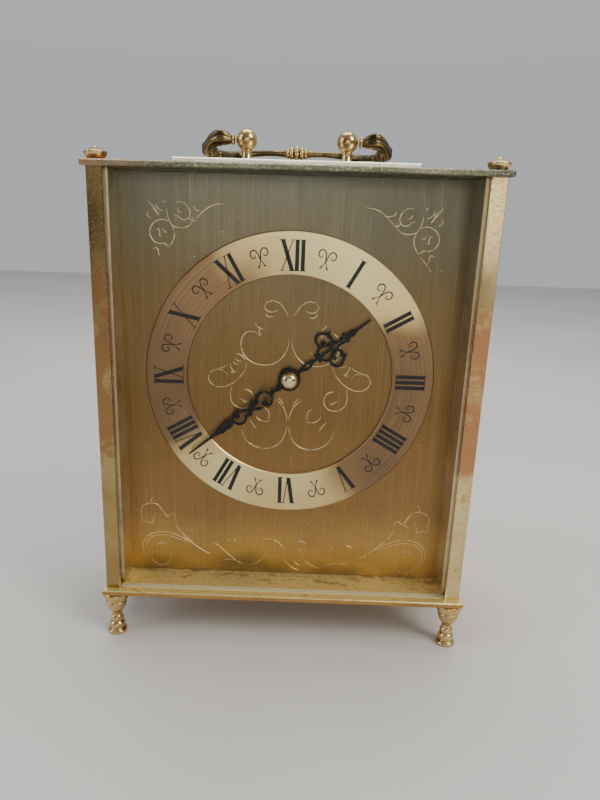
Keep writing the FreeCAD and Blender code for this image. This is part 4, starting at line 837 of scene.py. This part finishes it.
CORNER_SCROLLS = (
    (0.30, (-40.5, 60.2), (-38.6, 60.4), (-36.8, 59.3), (-35.8, 57.4), (-36.0, 55.6), (-37.2, 54.6),
     (-38.8, 54.8), (-40.0, 55.7), (-41.2, 56.1)),
    (0.26, (-40.0, 58.2), (-39.6, 57.3), (-38.4, 56.8)),
    (0.30, (-43.7, 58.0), (-43.5, 56.0), (-42.7, 53.9), (-41.5, 52.4), (-39.8, 51.9), (-38.0, 51.9),
     (-36.2, 52.6), (-35.0, 54.0), (-34.8, 55.6)),
    (0.28, (-42.7, 53.8), (-41.6, 51.9), (-41.1, 50.2), (-41.4, 48.2), (-42.4, 46.2), (-43.2, 45.3)),
    (0.36, (-42.7, 53.8), (-44.4, 54.4), (-46.4, 54.3), (-48.5, 53.0), (-49.6, 51.0), (-49.5, 49.0),
     (-48.3, 47.2), (-46.5, 46.4), (-44.6, 46.5), (-43.2, 45.3)),
    (0.28, (-47.6, 51.0), (-46.6, 51.3), (-46.2, 50.2), (-46.3, 48.9), (-45.4, 49.2)),
    (0.26, (-45.4, 51.9), (-44.9, 50.9), (-44.4, 50.2), (-43.9, 50.6)),
    (0.30, (-34.4, 59.3), (-34.0, 58.1), (-32.8, 57.6), (-30.8, 57.5)),
    (0.28, (-36.1, 55.6), (-35.5, 54.5), (-33.9, 54.4)),
    (0.28, (-34.1, 54.6), (-32.0, 56.7), (-29.6, 58.7), (-27.0, 59.8), (-23.9, 60.2)),
    (0.30, (-50.1, 60.8), (-49.4, 59.6), (-48.3, 58.9), (-47.3, 57.4), (-46.4, 55.7)),
    (0.32, (-48.9, 58.6), (-47.8, 57.6), (-46.9, 56.3), (-46.2, 56.1)),
    (0.26, (-47.0, 59.9), (-47.2, 58.7), (-46.1, 57.6), (-44.9, 57.2)),
    (0.26, (-49.9, 57.2), (-50.4, 56.0), (-49.8, 55.0), (-48.9, 55.0)),
    (0.24, (-45.0, 60.6), (-44.5, 60.1), (-44.2, 60.5)),
    (0.32, (-48.7, 44.5), (-47.6, 45.0), (-46.9, 44.3), (-46.9, 43.2), (-46.3, 42.2)),
    (0.30, (-45.1, 46.3), (-44.1, 46.2), (-43.5, 45.5)),
)
RIGHT_STROKES = (
    (0.24, (43.6, 44.6), (45.6, 42.4), (47.9, 39.5)),
    (0.30, (24.4, -66.8), (25.9, -67.4), (26.8, -68.1)),
    (0.28, (18.6, -67.4), (19.4, -68.5)),
    (0.26, (5.0, -65.9), (6.7, -65.6), (8.1, -66.3), (8.9, -67.2)),
    (0.30, (5.8, -69.0), (6.9, -70.1), (7.8, -71.1)),
    (0.32, (0.2, -74.0), (1.8, -75.9), (4.0, -77.6), (6.7, -78.6)),
    (0.28, (4.0, -74.4), (5.2, -75.6), (6.6, -76.4)),
    (0.28, (45.6, -56.9), (47.0, -57.6), (48.4, -58.9)),
)
LEFT_STROKES = (
    (0.28, (-27.3, -67.9), (-25.4, -69.0), (-23.8, -70.6), (-21.7, -72.6), (-19.4, -74.6), (-17.9, -75.9)),
    (0.24, (-21.9, -65.9), (-20.8, -67.0)),
    (0.24, (-19.6, -66.0), (-18.6, -66.9)),
    (0.32, (-8.4, -65.7), (-5.4, -65.2), (-3.0, -66.0), (-1.2, -67.6), (0.5, -69.5)),
    (0.24, (-4.4, -68.4), (-3.6, -69.2)),
)
BORDER_SCROLLS = (
    (0.26, (-56.0, -59.9), (-55.5, -57.6), (-56.0, -55.4), (-55.2, -53.1), (-53.6, -52.0),
     (-51.6, -51.6), (-49.6, -52.0), (-48.1, -53.7), (-46.8, -55.6), (-45.6, -57.1), (-44.4, -56.0),
     (-42.9, -56.2), (-42.7, -58.0), (-42.4, -60.0)),
    (0.24, (-56.0, -59.9), (-53.8, -59.5), (-51.6, -60.2), (-51.2, -58.4), (-51.0, -56.8), (-50.2, -56.0)),
    (0.22, (-51.6, -51.6), (-51.9, -50.1), (-50.7, -48.8)),
    (0.32, (-42.4, -60.0), (-41.6, -61.8), (-40.1, -64.0), (-38.0, -66.1), (-36.2, -67.7)),
    (0.24, (-36.6, -67.4), (-34.0, -69.7), (-31.7, -71.2), (-29.0, -72.7)),
    (0.28, (-54.4, -74.6), (-55.6, -71.6), (-55.3, -68.2), (-53.6, -65.8), (-51.0, -64.3),
     (-47.6, -63.8), (-44.0, -64.2), (-40.6, -65.6), (-37.6, -67.3), (-35.4, -68.6)),
    (0.24, (-53.0, -75.0), (-54.5, -72.2), (-54.3, -69.2), (-52.8, -66.8), (-50.4, -65.4),
     (-47.0, -65.1), (-43.6, -65.8), (-40.4, -67.0), (-37.4, -68.2)),
    (0.20, (-50.2, -69.9), (-49.2, -68.8), (-47.9, -68.6), (-46.6, -69.6)),
    (0.18, (-52.9, -73.8), (-51.6, -76.6), (-48.8, -78.2), (-45.8, -77.4), (-44.2, -74.9), (-45.0, -72.2)),
    (0.20, (-14.6, -77.4), (-10.8, -76.0), (-8.2, -73.6), (-6.6, -71.0)),
    (0.20, (-26.0, -75.6), (-20.6, -74.8), (-15.6, -76.4)),
)


def on_dial(x, z, rise):
    """Puts a point of the engraving in the frame, raised towards the front."""
    return Vector((x * MM + DIAL_CENTRE.x, DIAL_FACE - rise * MM, z * MM + DIAL_CENTRE.z))


def engraving_look():
    """Bright cut lines: pale gold, a little uneven where the graver bit less."""
    look = Look("engraved_line", Metallic=0.85)
    slow = look.noise(2.2, detail=3.0)
    tone = look.ramp(slow, (0.3, (0.50, 0.34, 0.13)), (0.5, (0.86, 0.68, 0.36)), (0.7, (0.98, 0.86, 0.56)))
    look.set(Base_Color=tone, Roughness=look.level(slow, 0.3, 0.7, 0.22, 0.42))
    look.bump((look.noise(0.3), 0.004))
    return look.material


def engraving(name, scrolls, look, signs=(1, -1)):
    """One piece that holds strokes on the dial, each drawn once for every sign of X."""
    vertices, faces = [], []
    for width, *points in scrolls:
        for sx in signs:
            mirrored = [(sx * x, z) for x, z in points]
            add_stroke(vertices, faces, mirrored, width, ENGRAVED_RISE, on_dial)
    finish_piece(mesh_piece(name, vertices, faces, smooth=False), look, "dial_brass", "case")


ENGRAVED_RISE = 0.05
ENGRAVED = engraving_look()
engraving("engraving_centre", CENTRE_SCROLLS, ENGRAVED)
engraving("engraving_corners", CORNER_SCROLLS, ENGRAVED)
engraving("engraving_border", BORDER_SCROLLS, ENGRAVED)
engraving("engraving_odd_strokes", LEFT_STROKES + RIGHT_STROKES, ENGRAVED, signs=(1,))

# ---------------------------------------------------------------- numerals and half-hour marks on the ring
NUMERALS = ("XII", "I", "II", "III", "IIII", "V", "VI", "VII", "VIII", "IX", "X", "XI")
NUMERAL_LOW, NUMERAL_HIGH = 38.6, 49.0  # foot and head of a letter from the dial's centre, in millimetres
THICK, THIN, HAIR = 1.38, 0.36, 0.24  # widths of the two kinds of stroke, and the height of a serif
SLANTED = THICK * 1.08  # a slanting stroke is measured level, so it is drawn wider
LEAN = 1.8  # how far a slanting stroke's end is from the letter's middle
LONG_SERIF, SERIF, SHORT_SERIF = 1.2, 1.1, 0.85  # half of their widths
ADVANCE = {"I": 2.0, "V": 4.5, "X": 4.7}
PRINT_RISE = 0.06


def ring_place(clock):
    """A function that puts points on the ring: x is clockwise and z is out from the dial's centre."""
    turn = math.radians(clock)

    def place(x, z, rise):
        dx = x * math.cos(turn) + z * math.sin(turn)
        dz = z * math.cos(turn) - x * math.sin(turn)
        return Vector((dx * MM + DIAL_CENTRE.x, RING_FACE - rise * MM, dz * MM + DIAL_CENTRE.z))

    return place


def add_bar(vertices, faces, low, high, width, place):
    """A stroke whose ends are cut level, between two points (x, z)."""
    (x0, z0), (x1, z1) = low, high
    half = width / 2
    start = len(vertices)
    for rise in (-SUNK, PRINT_RISE):
        for x, z in ((x0 - half, z0), (x0 + half, z0), (x1 + half, z1), (x1 - half, z1)):
            vertices.append(place(x, z, rise))
    for face in ((0, 1, 2, 3), (7, 6, 5, 4), (0, 4, 5, 1), (1, 5, 6, 2), (2, 6, 7, 3), (3, 7, 4, 0)):
        faces.append(tuple(start + k for k in face))


def add_serif(vertices, faces, x, z, reach, place):
    """A level hairline that runs as far as its reach on both sides of x."""
    add_bar(vertices, faces, (x, z - HAIR / 2), (x, z + HAIR / 2), 2 * reach, place)


def add_letter(vertices, faces, letter, x, place):
    """An I, a V or an X with its serifs, with its middle at x."""
    low, high = NUMERAL_LOW, NUMERAL_HIGH
    if letter == "I":
        add_bar(vertices, faces, (x, low), (x, high), THICK, place)
        for z in (low, high):
            add_serif(vertices, faces, x, z, SERIF, place)
    elif letter == "V":
        add_bar(vertices, faces, (x + 0.1, low), (x - LEAN + 0.3, high), SLANTED, place)
        add_bar(vertices, faces, (x + 0.35, low), (x + LEAN, high), THIN, place)
        add_serif(vertices, faces, x - LEAN + 0.3, high, LONG_SERIF, place)
        add_serif(vertices, faces, x + LEAN, high, SHORT_SERIF, place)
    else:
        add_bar(vertices, faces, (x + LEAN - 0.1, low), (x - LEAN + 0.1, high), SLANTED, place)
        add_bar(vertices, faces, (x - LEAN, low), (x + LEAN, high), THIN, place)
        for z, sign in ((low, 1), (high, -1)):
            add_serif(vertices, faces, x + sign * (LEAN - 0.1), z, LONG_SERIF, place)
            add_serif(vertices, faces, x - sign * LEAN, z, SHORT_SERIF, place)


def numeral(text, clock):
    """A Roman numeral on the ring, at an angle clockwise from twelve."""
    vertices, faces = [], []
    place = ring_place(clock)
    x = -sum(ADVANCE[letter] for letter in text) / 2
    for letter in text:
        add_letter(vertices, faces, letter, x + ADVANCE[letter] / 2, place)
        x += ADVANCE[letter]
    return mesh_piece(f"numeral_{clock // 30 or 12}", vertices, faces, smooth=False)


# Half of the mark between two numerals: widths and points in millimetres, with z from the dial's centre.
HORN = (
    (0.54, (-0.9, 40.7), (-0.65, 42.0), (0.0, 43.3), (0.25, 44.6), (0.55, 45.9), (1.2, 46.9),
     (2.1, 47.1), (2.95, 46.4), (3.05, 45.3), (2.45, 44.5), (1.75, 44.5), (1.45, 45.1), (1.95, 45.5)),
    (0.50, (0.75, 42.0), (1.05, 41.2), (1.75, 40.8)),
)
PRINT = plastic("dial_print", (0.004, 0.0035, 0.004), 0.6, 0.5, 0.002)
for hour, text in enumerate(NUMERALS):
    finish_piece(numeral(text, 30 * hour), PRINT, "hand_black", "case")
vertices, faces = [], []
for hour in range(12):
    place = ring_place(30 * hour + 15)
    for width, *points in HORN:
        for sx in (1, -1):
            add_stroke(vertices, faces, [(sx * x, z) for x, z in points], width, PRINT_RISE, place, steps=5)
finish_piece(mesh_piece("half_hour_marks", vertices, faces, smooth=False), PRINT, "hand_black", "case")

# ---------------------------------------------------------------- hand cap and door pull
CAP_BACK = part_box("hand_cap")[1].y
CAP_PROFILE = rounded(
    [
        (0.01, 0.0), (3.1, 0.0), None,
        (3.2, 0.05), (3.3, 0.3), (3.22, 0.6), (3.0, 1.2), (2.6, 1.85), (2.0, 2.4), (1.2, 2.75),
        (0.5, 2.88), (0.01, 2.9),
    ]
)
cap = turned("domed_cap", CAP_PROFILE, Vector((DIAL_CENTRE.x, CAP_BACK, DIAL_CENTRE.z)), axis="-Y")
finish_piece(cap, LOOKS["cap_brass"], "cap_brass", body_with("hand_cap"), "hand_cap")

KNOB_LENGTH = 4.2
DOOR_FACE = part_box("door_knob")[1].y - KNOB_LENGTH * MM
KNOB_PROFILE = rounded(
    [
        (0.01, 0.0), (2.55, 0.0), None,
        (2.6, 0.05), (2.6, 0.35), None,
        (2.1, 0.5), (1.6, 0.9), (1.5, 1.3), (1.65, 1.65), None,
        (2.3, 1.85), (2.95, 2.2), (3.12, 2.7), (3.0, 3.2), (2.4, 3.75), (1.4, 4.08), (0.5, 4.18),
        (0.01, KNOB_LENGTH),
    ]
)
knob_middle = middle_of("door_knob")
knob = turned("door_pull", KNOB_PROFILE, Vector((knob_middle.x, DOOR_FACE, knob_middle.z)), axis="Y")
finish_piece(knob, LOOKS["turned_brass"], "turned_brass", "back_door", "door_knob")

# ---------------------------------------------------------------- floor, light and camera
FLOOR_HALF = 1.6
AIM = Vector((0.0, 0.0, 0.09))


def floor_look():
    """Pale matt floor with faint clouding."""
    look = Look("pale_floor", Roughness=0.75)
    cloud = look.noise(160.0, detail=4.0)
    fine = look.noise(1.2, detail=3.0)
    look.set(Base_Color=look.ramp(cloud, (0.3, (0.60, 0.575, 0.545)), (0.7, (0.66, 0.64, 0.61))))
    look.bump((fine, 0.02))
    return look.material


floor_corners = [(FLOOR_HALF * x, FLOOR_HALF * y, 0) for x, y in ((-1, -1), (1, -1), (1, 1), (-1, 1))]
floor = mesh_piece("floor", floor_corners, [(0, 1, 2, 3)])
floor.data.materials.append(floor_look())


def soft_light(name, place, size, watts, colour):
    """A rectangular area light that faces the middle of the object."""
    data = bpy.data.lights.new(name, "AREA")
    data.shape = "RECTANGLE"
    data.size, data.size_y = size
    data.energy = watts
    data.color = colour
    light = bpy.data.objects.new(name, data)
    light.location = place
    light.rotation_mode = "QUATERNION"
    light.rotation_quaternion = (AIM - Vector(place)).to_track_quat("-Z", "Y")
    bpy.context.scene.collection.objects.link(light)


soft_light("key", (0.75, -0.55, 0.85), (0.5, 0.6), 9.0, (1.0, 0.96, 0.90))
soft_light("fill", (-0.9, -0.3, 0.5), (0.5, 0.7), 3.0, (0.90, 0.95, 1.0))
soft_light("top", (0.0, 0.25, 1.1), (0.9, 0.7), 7.0, (1.0, 1.0, 1.0))
soft_light("panel", (0.10, -1.1, 0.28), (0.86, 0.36), 1.9, (1.0, 0.97, 0.90))


def studio_world():
    """A room that is pale behind the object and above it, and dim in front of it."""
    world = bpy.data.worlds.new("studio")
    world.use_nodes = True
    tree = world.node_tree
    parts = tree.nodes.new("ShaderNodeSeparateXYZ")
    tree.links.new(tree.nodes.new("ShaderNodeTexCoord").outputs["Generated"], parts.inputs[0])
    total = tree.nodes.new("ShaderNodeMath")
    shares = {"Y": (-0.6, 0.8, 0.14, 0.50), "Z": (0.2, 1.0, 0.0, 0.30)}
    for socket, (axis, limits) in zip(total.inputs, shares.items()):
        share = tree.nodes.new("ShaderNodeMapRange")
        for limit, value in zip(("From Min", "From Max", "To Min", "To Max"), limits):
            share.inputs[limit].default_value = value
        tree.links.new(parts.outputs[axis], share.inputs["Value"])
        tree.links.new(share.outputs["Result"], socket)
    background = tree.nodes["Background"]
    background.inputs["Color"].default_value = (0.95, 0.98, 1.0, 1.0)
    tree.links.new(total.outputs[0], background.inputs["Strength"])
    return world


bpy.context.scene.world = studio_world()

CAMERA_PLACE = Vector((-0.0001, -0.2355, 0.15445))
CAMERA_YAW, CAMERA_PITCH, CAMERA_ROLL = math.radians(0.77), math.radians(15.48), math.radians(1.695)


def aim_camera(camera):
    """Turns the camera left by its yaw, down by its pitch, and then rolls it about its own axis."""
    flat_right = Vector((math.cos(CAMERA_YAW), math.sin(CAMERA_YAW), 0))
    flat_ahead = Vector((-math.sin(CAMERA_YAW), math.cos(CAMERA_YAW), 0))
    upright = Vector((0, 0, 1))
    ahead = flat_ahead * math.cos(CAMERA_PITCH) - upright * math.sin(CAMERA_PITCH)
    up = upright * math.cos(CAMERA_PITCH) + flat_ahead * math.sin(CAMERA_PITCH)
    right = flat_right * math.cos(CAMERA_ROLL) + up * math.sin(CAMERA_ROLL)
    up = up * math.cos(CAMERA_ROLL) - flat_right * math.sin(CAMERA_ROLL)
    turn = Matrix((right, up, -ahead)).transposed()
    camera.matrix_world = Matrix.Translation(CAMERA_PLACE) @ turn.to_4x4()


camera_data = bpy.data.cameras.new("camera")
camera_data.lens = 28.03
camera_data.sensor_width = 36.0
camera_data.shift_x = 0.0246
camera_data.shift_y = -0.0046
camera_data.clip_start = 0.01
camera = bpy.data.objects.new("camera", camera_data)
bpy.context.scene.collection.objects.link(camera)
aim_camera(camera)
bpy.context.scene.camera = camera
